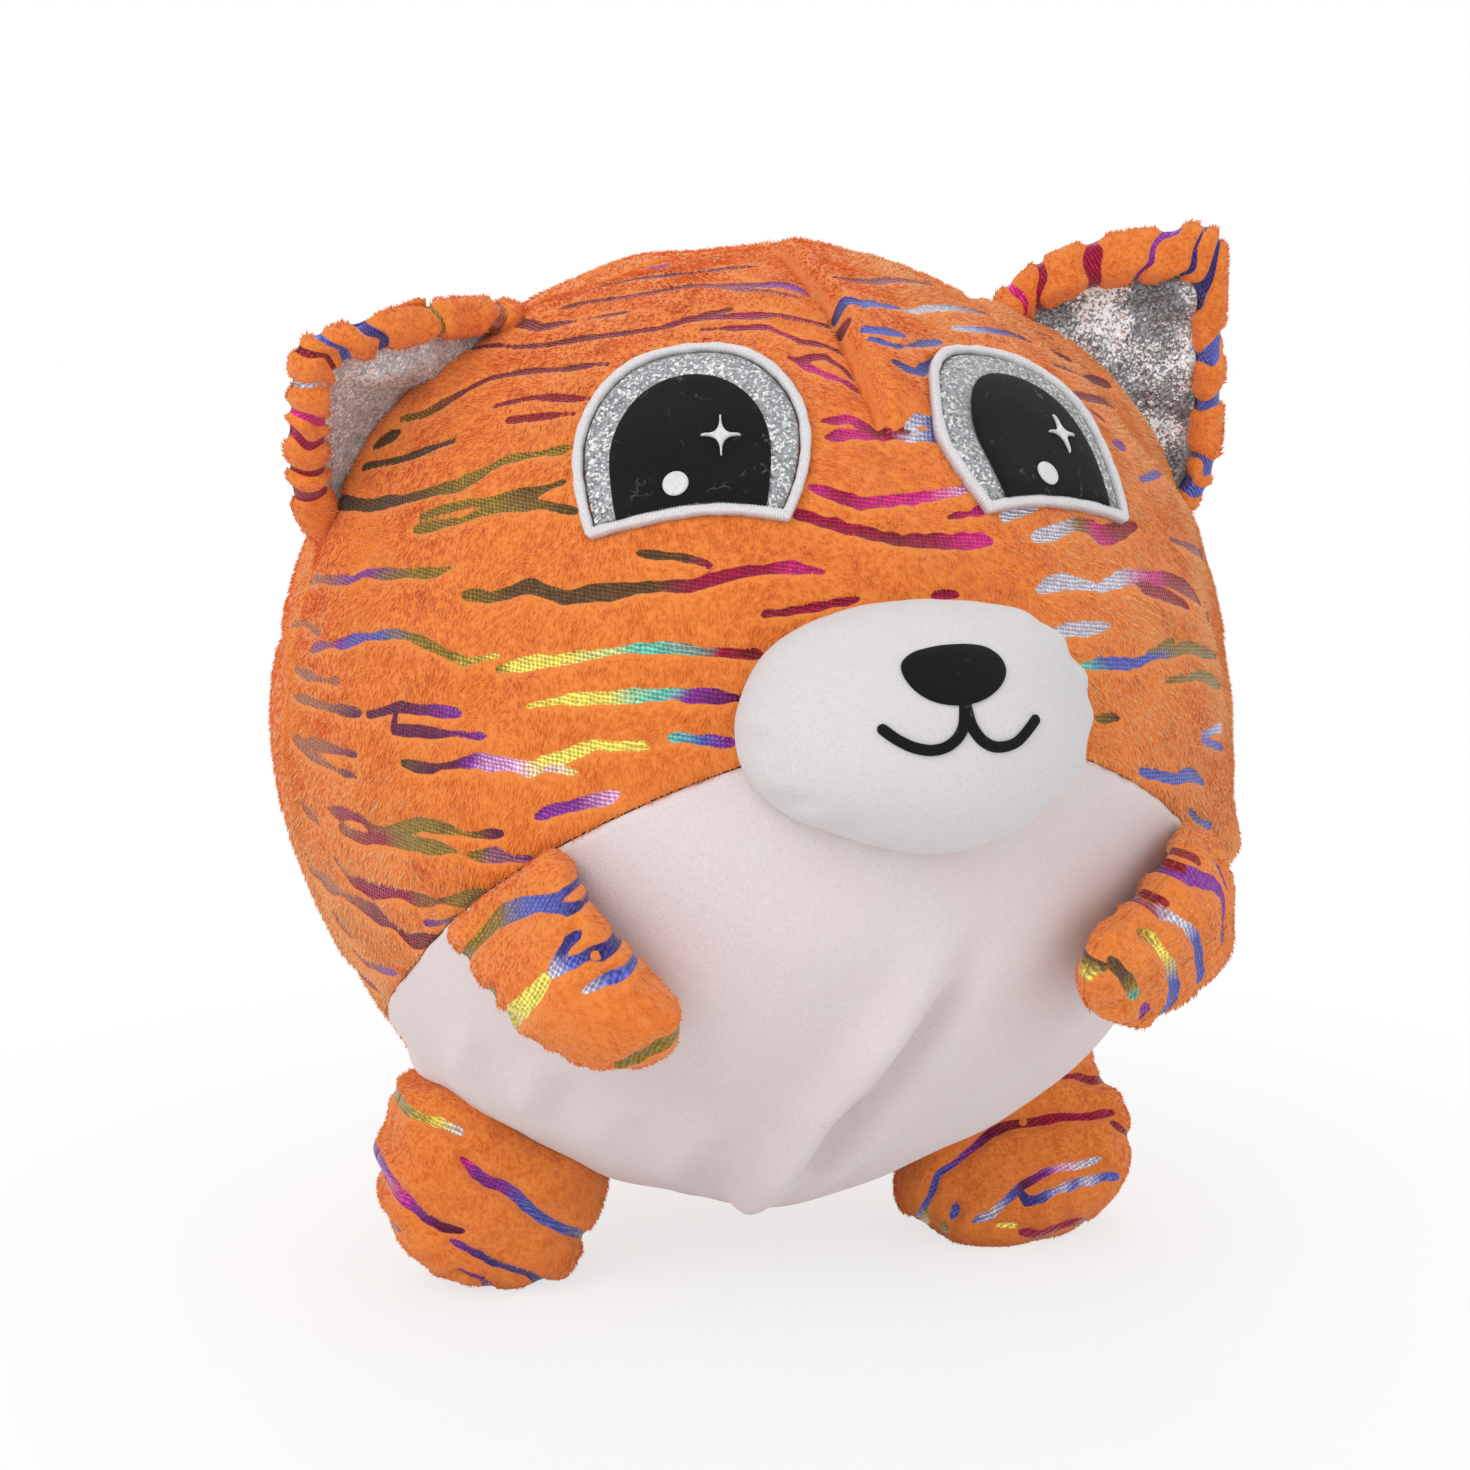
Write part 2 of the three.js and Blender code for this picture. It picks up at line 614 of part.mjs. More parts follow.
const splay = degrees(FOOT_SPLAY);
const footOut = new THREE.Vector3(Math.sin(splay), 0, -Math.cos(splay));
const footAcross = new THREE.Vector3().crossVectors(footOut, FRONT);
const footRootUnit = footOut.clone().multiplyScalar(BALL_RADIUS);
footRootUnit.y = -FOOT_FORWARD;
const footRoot = onBall(footRootUnit.normalize(), 0);
const footEdge = turnedOutline(FOOT_AROUND, (a) => {
  const reach = oval(FOOT_HALF_WIDTH, (FOOT_REACH - FOOT_ROOT) / 2, FOOT_SQUARENESS, a);
  return new THREE.Vector2(reach.x, reach.y + (FOOT_REACH + FOOT_ROOT) / 2);
});
const footPieces = pillow({
  outline: footEdge,
  middle: new THREE.Vector2(0, (FOOT_REACH + FOOT_ROOT) / 2),
  halfWidth: (FOOT_REACH - FOOT_ROOT) / 2,
  halfThickness: FOOT_HALF_THICKNESS,
  round: FOOT_ROUND,
  edgeRings: FOOT_EDGE_RINGS,
  place: flatChart(footRoot, footAcross, footOut, FRONT),
});
const footBottom = new THREE.Box3().setFromBufferAttribute(footPieces.upper.getAttribute("position")).min.z;
const floorLevel = footBottom + SOLE_FLAT;
const wide = 3 * BALL_RADIUS;
const underFloor = block(new THREE.Vector3(-wide, -wide, -wide), new THREE.Vector3(wide, wide, floorLevel));
hinges.foot = { at: footRoot.clone(), axis: footAcross.clone() };
const footRoom = sweptBall(ROOT_ROOM, hinges.foot, -FOOT_SWING, FOOT_SWING, FOOT_SWING_STEPS).add(underFloor);
["left", "right"].forEach((side) => {
  const names = [`${side}_foot_front`, `${side}_foot_back`, `${side}_foot_stuffing`];
  addLimb(names, footPieces, footRoom, side === "left");
});

/** The shell and lining of one ear, drawn for the right side with its own lean and tip. */
function addEar(side) {
  const raise = degrees(EAR_ELEVATION);
  const lean = degrees(EAR_LEAN[side]);
  const level = Math.sqrt(BALL_RADIUS ** 2 - EAR_FORWARD ** 2 - EAR_HALF_BASE ** 2);
  const out = new THREE.Vector3(Math.cos(raise), 0, Math.sin(raise));
  const across = new THREE.Vector3().crossVectors(out, FRONT);
  const root = out.clone().multiplyScalar(level).addScaledVector(FRONT, EAR_FORWARD);
  const up = out.clone().multiplyScalar(Math.cos(lean)).addScaledVector(FRONT, Math.sin(lean));
  const face = new THREE.Vector3().crossVectors(across, up);
  const place = flatChart(root, across, up, face);
  const tip = new THREE.Vector2(EAR_TIP_SHIFT[side], EAR_HEIGHT);
  const outer = new THREE.Vector2(EAR_HALF_BASE, 0);
  const inner = new THREE.Vector2(-EAR_HALF_BASE, 0);
  const nearTip = (base) => tip.clone().addScaledVector(base.clone().sub(tip).normalize(), EAR_TIP_ROUND);
  const path = new THREE.Path();
  const start = nearTip(outer);
  const end = nearTip(inner);
  const outerSide = start.clone().add(outer).divideScalar(2).add(new THREE.Vector2(EAR_SIDE_BOW, 0));
  const innerSide = end.clone().add(inner).divideScalar(2).add(new THREE.Vector2(-EAR_SIDE_BOW, 0));
  path.moveTo(inner.x, EAR_ROOT);
  path.lineTo(outer.x, EAR_ROOT);
  path.lineTo(outer.x, outer.y);
  path.quadraticCurveTo(outerSide.x, outerSide.y, start.x, start.y);
  path.quadraticCurveTo(tip.x, tip.y, end.x, end.y);
  path.quadraticCurveTo(innerSide.x, innerSide.y, inner.x, inner.y);
  path.lineTo(inner.x, EAR_ROOT);
  const rimMiddle = (1 + EAR_RIM_START) / 2;
  const rimHalf = (1 - EAR_RIM_START) / 2;
  const rim = (share) => {
    const aside = Math.min(1, Math.abs(share - rimMiddle) / rimHalf);
    return EAR_RIM_HALF * Math.sqrt(1 - aside * aside);
  };
  const outline = path.getSpacedPoints(EAR_AROUND).slice(0, EAR_AROUND);
  const middle = new THREE.Vector2(0, EAR_ROOT / 2);
  const rimRings = EAR_RIM_RINGS.map((share) => EAR_RIM_START + share * (1 - EAR_RIM_START));
  const shell = pad({
    outline,
    middle,
    rings: [EAR_FLOOR_RING, EAR_RIM_START, ...rimRings],
    top: (share) => (share > EAR_RIM_START ? rim(share) + FILL_EDGE : EAR_FLOOR),
    bottom: (share) => -FILL_EDGE - EAR_BACK * Math.sqrt(1 - share ** EAR_BACK_ROUND),
    place,
  });
  const lining = pad({
    outline: drawnIn(outline.map((p) => middle.clone().lerp(p, EAR_RIM_START)), SEAT),
    middle,
    rings: PATCH_RINGS,
    top: () => EAR_FLOOR + SEAT + EAR_LINING,
    bottom: () => EAR_FLOOR + SEAT,
    place,
  });
  const hinge = { at: root.clone().addScaledVector(out, EAR_RIM_HALF), axis: across.clone() };
  hinges[`${side}_ear`] = hinge;
  const room = sweptBall(ROOT_ROOM, hinge, -EAR_FOLD, EAR_FOLD, EAR_FOLD_STEPS);
  addPiece(`${side}_ear_shell`, shapeOf(solid(shell).subtract(room)), ORANGE, side === "left");
  addPiece(`${side}_ear_lining`, shapeOf(solid(lining).subtract(room)), SILVER, side === "left");
}

addEar("left");
addEar("right");

toy.userData.hinges = hinges;
const box = new THREE.Box3().setFromObject(toy);
toy.position.set(-(box.min.x + box.max.x) / 2, -(box.min.y + box.max.y) / 2, -box.min.z);
toy.updateMatrixWorld(true);

export default toy;
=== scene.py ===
import bpy
import numpy as np
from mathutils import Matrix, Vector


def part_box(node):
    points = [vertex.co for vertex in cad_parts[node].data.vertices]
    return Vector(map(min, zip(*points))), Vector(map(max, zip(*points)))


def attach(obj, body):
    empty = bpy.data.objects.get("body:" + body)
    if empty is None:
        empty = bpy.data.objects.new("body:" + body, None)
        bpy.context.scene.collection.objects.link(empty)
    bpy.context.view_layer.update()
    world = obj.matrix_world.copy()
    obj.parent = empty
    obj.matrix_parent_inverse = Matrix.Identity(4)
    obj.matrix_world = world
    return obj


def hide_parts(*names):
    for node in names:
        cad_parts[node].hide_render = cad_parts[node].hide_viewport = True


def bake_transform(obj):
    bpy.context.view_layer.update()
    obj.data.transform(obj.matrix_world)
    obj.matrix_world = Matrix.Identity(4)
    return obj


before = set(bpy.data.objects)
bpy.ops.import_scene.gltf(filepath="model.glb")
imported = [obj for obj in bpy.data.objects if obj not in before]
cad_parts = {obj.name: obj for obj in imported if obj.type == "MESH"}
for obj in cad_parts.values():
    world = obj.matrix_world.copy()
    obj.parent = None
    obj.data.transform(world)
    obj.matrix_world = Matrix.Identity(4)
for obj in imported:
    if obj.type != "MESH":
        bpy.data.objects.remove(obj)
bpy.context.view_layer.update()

MM = 0.001
SIDES = ("left", "right")
FRONT = np.array([0.0, -1.0, 0.0])
MIRROR = {"left": np.array([-1.0, 1.0, 1.0]), "right": np.ones(3)}

# The ball and its sewn cover, in millimetres and degrees about the ball's middle
ball_low, ball_high = (np.array(corner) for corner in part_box("ball_stuffing"))
BALL_MIDDLE = (ball_low + ball_high) / 2 / MM
BALL_RADIUS = 113.0
LOWER_DRAW_IN = 3.4
PILE_BED = 1.3
CLOTH = 2.2
FLOOR = -BALL_MIDDLE[2]
FLOOR_GAP = 0.05
SIDE_SEAM_FORWARD = 8.0
SIDE_SEAM_AHEAD = SIDE_SEAM_FORWARD / BALL_RADIUS
SIDE_SEAM_ROUND = np.sqrt(1 - SIDE_SEAM_AHEAD ** 2)
FACE_SEAM_TOP, FACE_SEAM_DROP, FACE_SEAM_POWER = 8.5, 58.5, 1.745
FACE_SEAM_LIFT, FACE_SEAM_LIFT_FROM = 8.0, 58
SEAM_GAP, SEAM_ROLL, SEAM_ROLL_WIDTH = 0.2, 1.1, 2.4
SEAM_SHORT, WIDEST_MARGIN = 0.004, 0.2
CORNER_GUESS, CORNER_PASSES = 84.0, 30
SEAM_GATHER, SEAM_GATHER_WAVE = 0.4, 8
BELLY_PUCKER, BELLY_PUCKER_START, BELLY_PUCKER_REACH, BELLY_PUCKER_WAVE = 1.3, 7, 22, 14
BELLY_PUCKER_FADE = 1.5
LINING_RADIUS = BALL_RADIUS - LOWER_DRAW_IN - PILE_BED - CLOTH - SEAM_ROLL
FILLING_GAP, FILLING_LUMP, FILLING_WAVE, FILLING_SPHERE = 1.6, 0.5, 20, 100
FILLING_STEPS, FILLING_ROWS, FILLING_POLE = 140, 70, 89
FACE_STEPS, BELLY_STEPS, BACK_STEPS = 400, 300, 240
FACE_ROWS, BELLY_ROWS, BACK_ROWS, LINING_ROWS = 220, 180, 150, 9
PANEL_FILL, LIMB_FILL, EAR_FILL = 0.8, 0.85, 0.5

# Uneven stuffing of the ball: height, wavelength and seed
BALL_LUMPS = ((0.55, 62, 11), (0.22, 24, 12))
# Single swells of it: height, width, azimuth, elevation
BALL_SWELLS = (
    (1.7, 18.0, 64, 24), (5.0, 7.5, 61, -12.5), (-1.8, 34.0, -98, -18), (2.0, 20.0, -80, -44),
    (2.4, 30.0, -8, -64), (-1.6, 24.0, -75, 72), (-1.2, 20.0, 70, 4),
)

# Soft folds of the belly: height, half width, path as (azimuth, elevation)
BELLY_FOLDS = (
    (6.2, 5.6, ((5, -13), (0, -26), (-7, -39), (-12, -50), (-18, -62))),
    (-5.8, 4.2, ((10, -13), (4.5, -28), (-1.5, -41), (-6.5, -52))),
    (2.2, 5.0, ((8, -38), (1, -50), (-5, -62))),
    (-1.5, 5.0, ((-12, -38), (-18, -50), (-25, -62))),
    (1.8, 4.6, ((-23, -40), (-29, -49), (-34, -57))),
    (-1.4, 4.6, ((-18, -42), (-24, -51), (-29, -60))),
    (1.6, 4.2, ((-34, -37), (-44, -47))),
    (1.6, 4.2, ((-45, -32), (-55, -43))),
    (-1.3, 4.2, ((-40, -34), (-50, -45))),
    (1.4, 4.0, ((-54, -28), (-65, -38))),
)
FOLD_START, FOLD_END, FOLD_END_LOSS = (-0.05, 0.35), (0.7, 1.05), 0.35

# The forehead dart: where it runs, then the height and widths of its dip, its crease and its standing roll
DART_END, DART_TOP, DART_STRAIGHT_FROM = 38.5, 46.0, 56
DART_ASIDE, DART_SWING = 0.7, 1.7
DART_BACK = (SIDE_SEAM_FORWARD - 4, SIDE_SEAM_FORWARD + 16)
DART_DIP, DART_DIP_LEFT, DART_DIP_RIGHT = 1.3, 6.0, 0.7
DART_CREASE, DART_CREASE_LEFT, DART_CREASE_RIGHT = 1.8, 0.9, 0.6
DART_STAND, DART_STAND_RISE, DART_STAND_WIDTH, DART_STAND_LOSS = 4.6, 1.3, 16.0, 0.55
DART_LOSS_RISE = (58, 74)
DART_BARE, DART_BARE_FROM = 0.5, 0.3
DART_CROWDING, DART_CROWDING_AT, DART_CROWDING_WIDTH = 2.6, 0.02, 0.14

# Pile: tufts to a square millimetre, lengths, lean from upright, half widths, dye lots and a pale lot of
# painted sheen
FACE_PILE, BACK_PILE, EAR_PILE, LIMB_PILE = 2.3, 1.1, 2.0, 1.8
BALL_TUFT, EAR_TUFT, LIMB_TUFT = 1.6, 1.25, 1.3
TUFT_SPREAD = (0.7, 1.15)
TUFT_HALF_WIDTH = (0.16, 0.27)
TUFT_LEAN, TUFT_LEAN_SPREAD, TUFT_LEAN_LIMITS = 65, 6, (35, 78)
TUFT_LEAN_DRIFT, TUFT_LEAN_WAVE = 5, 14
TUFT_SWIRL, TUFT_SWIRL_WAVE, TUFT_SCATTER, TUFT_ROLL = 0.4, 26, 0.28, 0.25
TUFT_UNEVEN, TUFT_UNEVEN_WAVE = 0.12, 9
TUFT_SUNK, TUFT_HEEL = 0.1, 0.5
BALL_NAP = np.array([0, -0.15, -1.0])
BARE_EDGE, BARE_SCATTER = 0.1, 0.2
SHORN_SHARE, SHORN_REACH = 0.35, 1.5
TUFTS_TO_A_PIECE = 48000
DYE_STEPS, DYE_DRIFT, DYE_WAVE = (0.55, 0.85), 0.12, 11
# The pale lot is painted sheen: its index among the pile finishes and its largest share
PAINTED_SHEEN_LOT, PAINTED_SHEEN_SHARE = 3, 0.95
# Azimuths and elevations over which the pale lot of painted sheen comes and goes, standing in for grazing
# light that pales the pile
PAINTED_SHEEN_RIGHT, PAINTED_SHEEN_RIGHT_RISE = (10, 42), (-48, -36)
PAINTED_SHEEN_LEFT, PAINTED_SHEEN_LEFT_RISE = (42, 68), (-14, 6)
PAINTED_SHEEN_BACK = (105, 135)

# Eyes
EYE_AZIMUTH, EYE_ELEVATION, EYE_TILT = 25.1, 40.0, -6.8
EYE = dict(half=23.4, corners=(18.9, 20.9), top=24.6, bottom=-19.0, bow=3.0, waist=-1.0)
PUPIL = dict(half=16.3, corners=(15.0, 15.2), top=15.3, bottom=-17.5, bow=2.2, waist=-5.0)
BORDER_WIDTH, BORDER_HEIGHT, BORDER_SEAT, BORDER_FOOT = 1.95, 0.7, PILE_BED + 0.4, 0.2
STITCH_PITCH, STITCH_STEPS, STITCH_RIDGE, STITCH_UNEVEN, STITCH_WAVE = 0.6, 5, 0.1, 0.05, 4
EYE_CLEARING, MUZZLE_CLEARING, CLEARING_BARE, CHART_FACING = 1.02, 0.99, 3.0, 0.5
STITCH_ARCH, ARCH_STEPS = 0.7, 9
EYE_STEPS, PUPIL_STEPS, GLITTER_STEPS, GLEAM_STEPS = 600, 240, 200, 240
DOME_STEPS, LOWER_STEPS, FLANK_STEPS = 200, 80, 60
PATCH_EDGE, PATCH_SQUARENESS, PATCH_RINGS, GLEAM_RINGS = 0.35, 10, 24, 10
GLITTER_INSET, GLITTER_LAYER = 1.3, (0.3, PILE_BED + 0.7)
PUPIL_LAYER = (PILE_BED + 0.9, PILE_BED + 1.8)
GLEAM_LAYER, GLEAM_CROWN = (PILE_BED + 1.9, PILE_BED + 2.5), 0.3
STAR_REACH, STAR_HEIGHT, STAR_POWER, STAR_ROUND = 3.8, 4.7, 4.5, 0.16
STAR_SIDE, STAR_UP = 6.5, -1.8
DOT_RADIUS, DOT_SIDE, DOT_UP = 2.6, -2.6, -12.2

# Muzzle, nose and mouth
MUZZLE_ELEVATION, MUZZLE_HALF_WIDTH, MUZZLE_HALF_HEIGHT, MUZZLE_SQUARENESS = 8.5, 37.5, 24.5, 2.3
MUZZLE_REACH, MUZZLE_ROUND, MUZZLE_FULLNESS, MUZZLE_SEAT = 22.0, 2.4, 0.6, 1.4
MUZZLE_EASE = (-1.0, -0.8, 0.9, 1.0, 0.7, 0.6, 0.4, -0.1, -0.6, -1.7,
               -1.6, -2.4, -3.0, -3.2, -2.0, -0.4, -0.9, -1.7, -2.3, -1.5)
MUZZLE_PUCKER, MUZZLE_PUCKER_RING, MUZZLE_PUCKER_WAVE = 2.4, 36, 9
MUZZLE_PUCKER_FROM, MUZZLE_PUCKER_END = (0.74, 0.97), 1.02
MUZZLE_STEPS, MUZZLE_RINGS, MUZZLE_FILLING_STEPS, MUZZLE_FILLING_RINGS = 360, 90, 90, 20
MUZZLE_LUMP, MUZZLE_LUMP_WAVE, MUZZLE_WALL, MUZZLE_UNDER = 0.35, 26, 3.2, -0.9
MUZZLE_FILLING_REACH, MUZZLE_FILLING_LOW, MUZZLE_FILLING_LEAST = 0.88, 0.1, 0.8
NOSE_OUTLINE = (
    (9.5, 9.2), (8.9, 11.6), (6.7, 13.4), (3.3, 13.9), (-1.5, 13.8), (-6.2, 12.9), (-8.6, 11.0),
    (-8.2, 8.8), (-6.8, 6.6), (-4.4, 4.8), (-1.2, 3.9), (2.1, 3.9), (4.9, 4.7), (7.8, 6.6),
)
NOSE_LAYER, NOSE_STEPS, NOSE_PASSES, NOSE_RINGS = (0.1, 0.9), 240, 70, 20
MOUTH_STROKES = (
    ((-12.6, 1.3), (-10.1, -0.8), (-7.4, -2.3), (-4.6, -3.0), (-2.1, -2.7), (-0.1, -1.4), (1.0, 0.5),
     (1.2, 4.4)),
    ((14.4, 1.7), (12.7, -0.1), (10.3, -2.4), (8.1, -3.0), (5.8, -2.9), (3.7, -1.6), (2.0, 0.8),
     (1.2, 4.4)),
)
MOUTH_WIDTH, MOUTH_SEAT, MOUTH_HEIGHT, MOUTH_UNDER = 1.8, 0.15, 0.75, -0.3
MOUTH_ARCH, MOUTH_END, MOUTH_STEPS, MOUTH_PASSES = 0.6, 0.05, 100, 40

# Ears
EAR_FORWARD, EAR_ELEVATION, EAR_HALF_BASE, EAR_HEIGHT = 10.0, 42.5, 35.0, 53.0
EAR_OUT = np.array([np.cos(np.radians(EAR_ELEVATION)), 0.0, np.sin(np.radians(EAR_ELEVATION))])
EAR_TIP_ROUND, EAR_SIDE_BOW, EAR_ROOT, EAR_RIM_START = 12.0, 9.0, -7.0, 0.74
EAR_RIM_HALF, EAR_BACK, EAR_FLOOR, EAR_WALL = 5.0, 4.0, -1.0, 0.3
EAR_SUNK, EAR_LUMP, EAR_LUMP_WAVE, EAR_PINCH, EAR_BEND = 2.8, 0.6, 13, 1.3, (2.0, 11.0)
EAR_NAP_UP, EAR_NAP_OUT = 0.7, 0.4
EAR_LET_OUT, EAR_LET_OUT_RISE, EAR_FULLER_RISE = 1.2, (8, 40), (-4, 10)
EAR_RIM_LUMPS, EAR_BACK_ROUND, EAR_BACK_APART = (0.78, 0.86), 4, 30
EAR_SIDE_STEPS, EAR_TIP_STEPS, EAR_STEPS = 60, 40, 320
# Rows of the ear, each set from a start to an end in so many steps
EAR_ROLL_ROWS, EAR_BACK_EDGE_ROWS, EAR_BACK_ROWS = (0.12, np.pi, 26), (0.02, 1, 30), (0.46, 0.06, 8)
EAR_LINING_ROWS, EAR_FLOOR_START = (0.05, 1, 60), 0.1
EAR_LEAN = {"left": 43.0, "right": 21.0}
EAR_TIP_SHIFT = {"left": 8.0, "right": -16.0}
EAR_MIDDLE = {"left": 0.0, "right": 6.0}
EAR_MIDDLE_UP, EAR_FLOOR_ROWS = -2.0, 8
RING_START, RING_FADE, RING_WAVER, RING_SWAY, RING_WAVE, NO_RING = 0.62, 14, 0.2, 1.5, 9, -20.0
EAR_FULLER = {"left": 0.6, "right": 2.8}
EAR_SEED = {"left": 90, "right": 95}
EAR_SWELL, EAR_SWELL_AHEAD, EAR_SWELL_WIDTH = 5.2, 8.0, 8.5
EAR_SWELL_ENDS, EAR_SWELL_FADE, EAR_SWELL_STEPS = (0.08, 0.92), 0.6, 9
LINING_OVERLAP, LINING_RAISED, LINING_DEEPEST, LINING_UNDER = 0.03, 1.9, -1.2, 0.2
LINING_FOLD, LINING_FOLD_WAVE, LINING_CREASE, LINING_CREASE_WAVE = 1.5, 22, 0.5, 9
LINING_FOLD_LENGTH, LINING_CALM, LINING_CALM_POWER = 0.6, 0.6, 6

# Arms
ARM_AZIMUTH, ARM_ELEVATION, ARM_TURN = 43.5, -9.2, 52.0
ARM_LENGTH, ARM_HALF_THICKNESS, ARM_RISE, ARM_STAND = 44.0, 10.5, 20.0, 0.5
ARM_OUTLINE = {
    "left": (
        (18.4, 3.8), (18.2, 9.3), (17.5, 15.0), (15.3, 20.3), (14.7, 26.0), (12.2, 31.3), (10.9, 36.6),
        (8.4, 41.3), (4.0, 43.9), (-0.9, 42.4), (-5.8, 40.1), (-8.6, 36.1), (-11.3, 31.9), (-11.2, 26.4),
        (-12.6, 21.1), (-11.6, 15.0), (-13.2, 8.9), (-13.8, 3.2), (-14.8, -1.0), (-12.8, -5.2),
        (-3.5, -2.3), (2.1, -0.8), (7.5, 1.0), (13.1, 2.2),
    ),
    "right": (
        (13.0, 3.0), (15.8, 7.0), (18.7, 12.9), (20.8, 18.5), (19.4, 24.7), (19.9, 30.7), (21.2, 37.0),
        (19.4, 43.4), (14.9, 48.5), (8.9, 49.7), (3.5, 48.1), (-1.4, 45.2), (-6.4, 42.0), (-10.3, 37.8),
        (-11.0, 31.7), (-10.6, 25.9), (-10.2, 20.4), (-10.6, 14.4), (-11.5, 8.5), (-12.6, 2.8),
        (-13.1, 0.0), (-7.7, 0.5), (-1.7, 1.1), (4.3, 1.8), (10.3, 2.4),
    ),
}
ARM_SETTLE, ARM_SETTLE_RISE = {"left": 0.0, "right": 2.2}, (4, 20)
ARM_STEPS, ARM_PASSES = 200, 18
ARM_FULL, ARM_PINCH, ARM_BEND, ARM_CLEAR = 2.3, 1.2, (-1.0, 9.0), {1: 1.2, -1: 0.0}

# Feet
FOOT_FORWARD, FOOT_SPLAY, FOOT_HALF_WIDTH, FOOT_REACH, FOOT_ROOT = 2.0, 32.8, 28.5, 34.0, -7.0
FOOT_SQUARENESS, FOOT_HALF_THICKNESS, FOOT_STEPS = 2.8, 22.0, 220
FOOT_EASE = {
    "left": (-0.9, 1.1, -0.6, 1.4, 2.7, 4.0, 2.6, -0.7, -4.9, -2.3, -3.1, 0.7, 0, 0, 0, 0, 0, 0, 0.5, -0.4),
    "right": (6.1, 4.3, 4.8, 5.1, 8.2, 9.8, 8.5, 4.9, 0.3, -2.0, -3.6, -0.4, 0, 0, 0, 0, 0, 0, 0, 1.6),
}
FOOT_TILT = {"left": 0.0, "right": 24.0}
FOOT_FULL, FOOT_PINCH, FOOT_BEND, FOOT_CLEAR = 3.0, 1.8, (-3.0, 8.0), {1: -3.2, -1: -3.2}

# Both kinds of limb
PILLOW_EDGE, SEWN_EDGE = 1.2, 0.12
LIMB_SEED = {"left": 70, "right": 80}
LIMB_EDGE_RING, LIMB_EDGE_WAVES = 30, ((0.2, 10), (0.3, 30))
LIMB_NOTCH, LIMB_NOTCH_WIDTH = 0.9, 2.2
LIMB_LUMP, LIMB_LUMP_WAVE, LIMB_LUMP_FADE, LIMB_LUMP_APART = 0.5, 17, 4, 9
LIMB_GATHER, LIMB_GATHER_WAVE, LIMB_GATHER_FROM, LIMB_GATHER_TO = 0.5, 8, (0.6, 0.9), (0.93, 1.0)
LIMB_BED_FADE, LIMB_SEAM, LIMB_WOBBLE = 8, (0.84, 0.97), 0.5
LIMB_RINGS, LIMB_RING_START, LIMB_FILLING_STEPS, LIMB_FILLING_RINGS = 64, 0.04, 60, 14
LIMB_LINING_REACH, LIMB_LINING_SPREAD, LIMB_LINING_SHARE, LIMB_LINING_LEAST = 0.93, 1.08, 0.8, 0.15
LIMB_FILLING_REACH, LIMB_FILLING_SPREAD, LIMB_FILLING_SHARE, LIMB_FILLING_LEAST = 0.82, 0.98, 0.66, 0.2
LIMB_FILLING_LIFT = 0.6

# Foil colours of the printed stripes, as sRGB
FOILS = {
    "wine": (0.56, 0.16, 0.19), "red": (0.62, 0.13, 0.15), "crimson": (0.64, 0.10, 0.26),
    "magenta": (0.86, 0.18, 0.54), "pink": (0.96, 0.72, 0.88), "violet": (0.57, 0.22, 0.64),
    "plum": (0.42, 0.11, 0.28), "navy": (0.26, 0.23, 0.54), "blue": (0.36, 0.40, 0.76),
    "mint": (0.46, 0.83, 0.74), "gold": (1.0, 0.92, 0.42), "olive": (0.60, 0.48, 0.15),
    "bronze": (0.40, 0.29, 0.17), "silver": (0.84, 0.83, 0.89), "rust": (0.72, 0.41, 0.27),
}
STRIPE_TAPER, STRIPE_END_HALF, STRIPE_MIDDLE_HALF = 5, 0.27, 0.29
STRIPE_WAVER, STRIPE_FRAY, FOIL_DRIFT = 0.22, 0.12, 0.04
STRIPE_SUNK, STRIPE_SUNK_OVER, PINCHED_OVER = 0.5, (-0.5, 0.6), (-2.0, 0.6)
STRIPE_REACH, STRIPE_WAVES = 12, (13, 3.6)
NO_STRIPE, FAR_OUTSIDE = -5.0, -30.0
FOIL_EDGE, FOIL_METAL, FOIL_ROUGH, PLUSH_ROUGH = 0.12, 0.55, 0.36, 0.95
# The knit under the foil, in millimetres, how much its courses and wales lighten and darken the foil's
# colour as painted glints and shade, and how much they raise the foil
COURSE_PITCH, WALE_PITCH, COURSE_SLANT, WALE_BEND, KNIT_SWAY = 0.85, 0.95, 0.9, 0.5, 7.0
KNIT_GLINT_PLAIN, KNIT_GLINT_COURSE, KNIT_GLINT_WALE = 0.95, 0.26, 0.15
RIDGE_PLAIN, RIDGE_COURSE, RIDGE_WALE = 0.5, 0.3, 0.2
FLAKE_SWING, CLOTH_SPECULAR = 0.9, 0.2

# Colours of the cloths and threads, as sRGB
ORANGE_DARK, ORANGE_LIGHT, ORANGE_CLOUD = (0.91, 0.50, 0.21), (0.955, 0.58, 0.28), (0.935, 0.54, 0.24)
PILE_SHEEN = (1.0, 0.93, 0.86)
FELT_DARK, FELT_LIGHT, FELT_LINT = (0.05, 0.05, 0.052), (0.085, 0.085, 0.09), (0.45, 0.45, 0.46)
THREAD_DARK, THREAD_LIGHT = (0.82, 0.81, 0.82), (0.91, 0.90, 0.91)
FIBRE_DARK, FIBRE_LIGHT = (0.86, 0.85, 0.83), (0.96, 0.95, 0.94)

# Camera in degrees, millimetres and pixels
YAW, PITCH, DISTANCE, FOCAL, FRAME = -16.61, 9.395, 632.5, 2670.0, 1470.0
SENSOR_WIDTH, SHIFT_X, SHIFT_Y = 36.0, -17.75, -10.7
# Lamps: name, azimuth, elevation, distance, size in metres, power in watts
LAMPS = (
    ("key_lamp", -48, 34, 1300, 0.9, 6.6),
    ("fill_lamp", 40, 20, 1500, 1.2, 3.4),
    ("back_lamp", 170, 50, 1400, 1.0, 5.0),
)
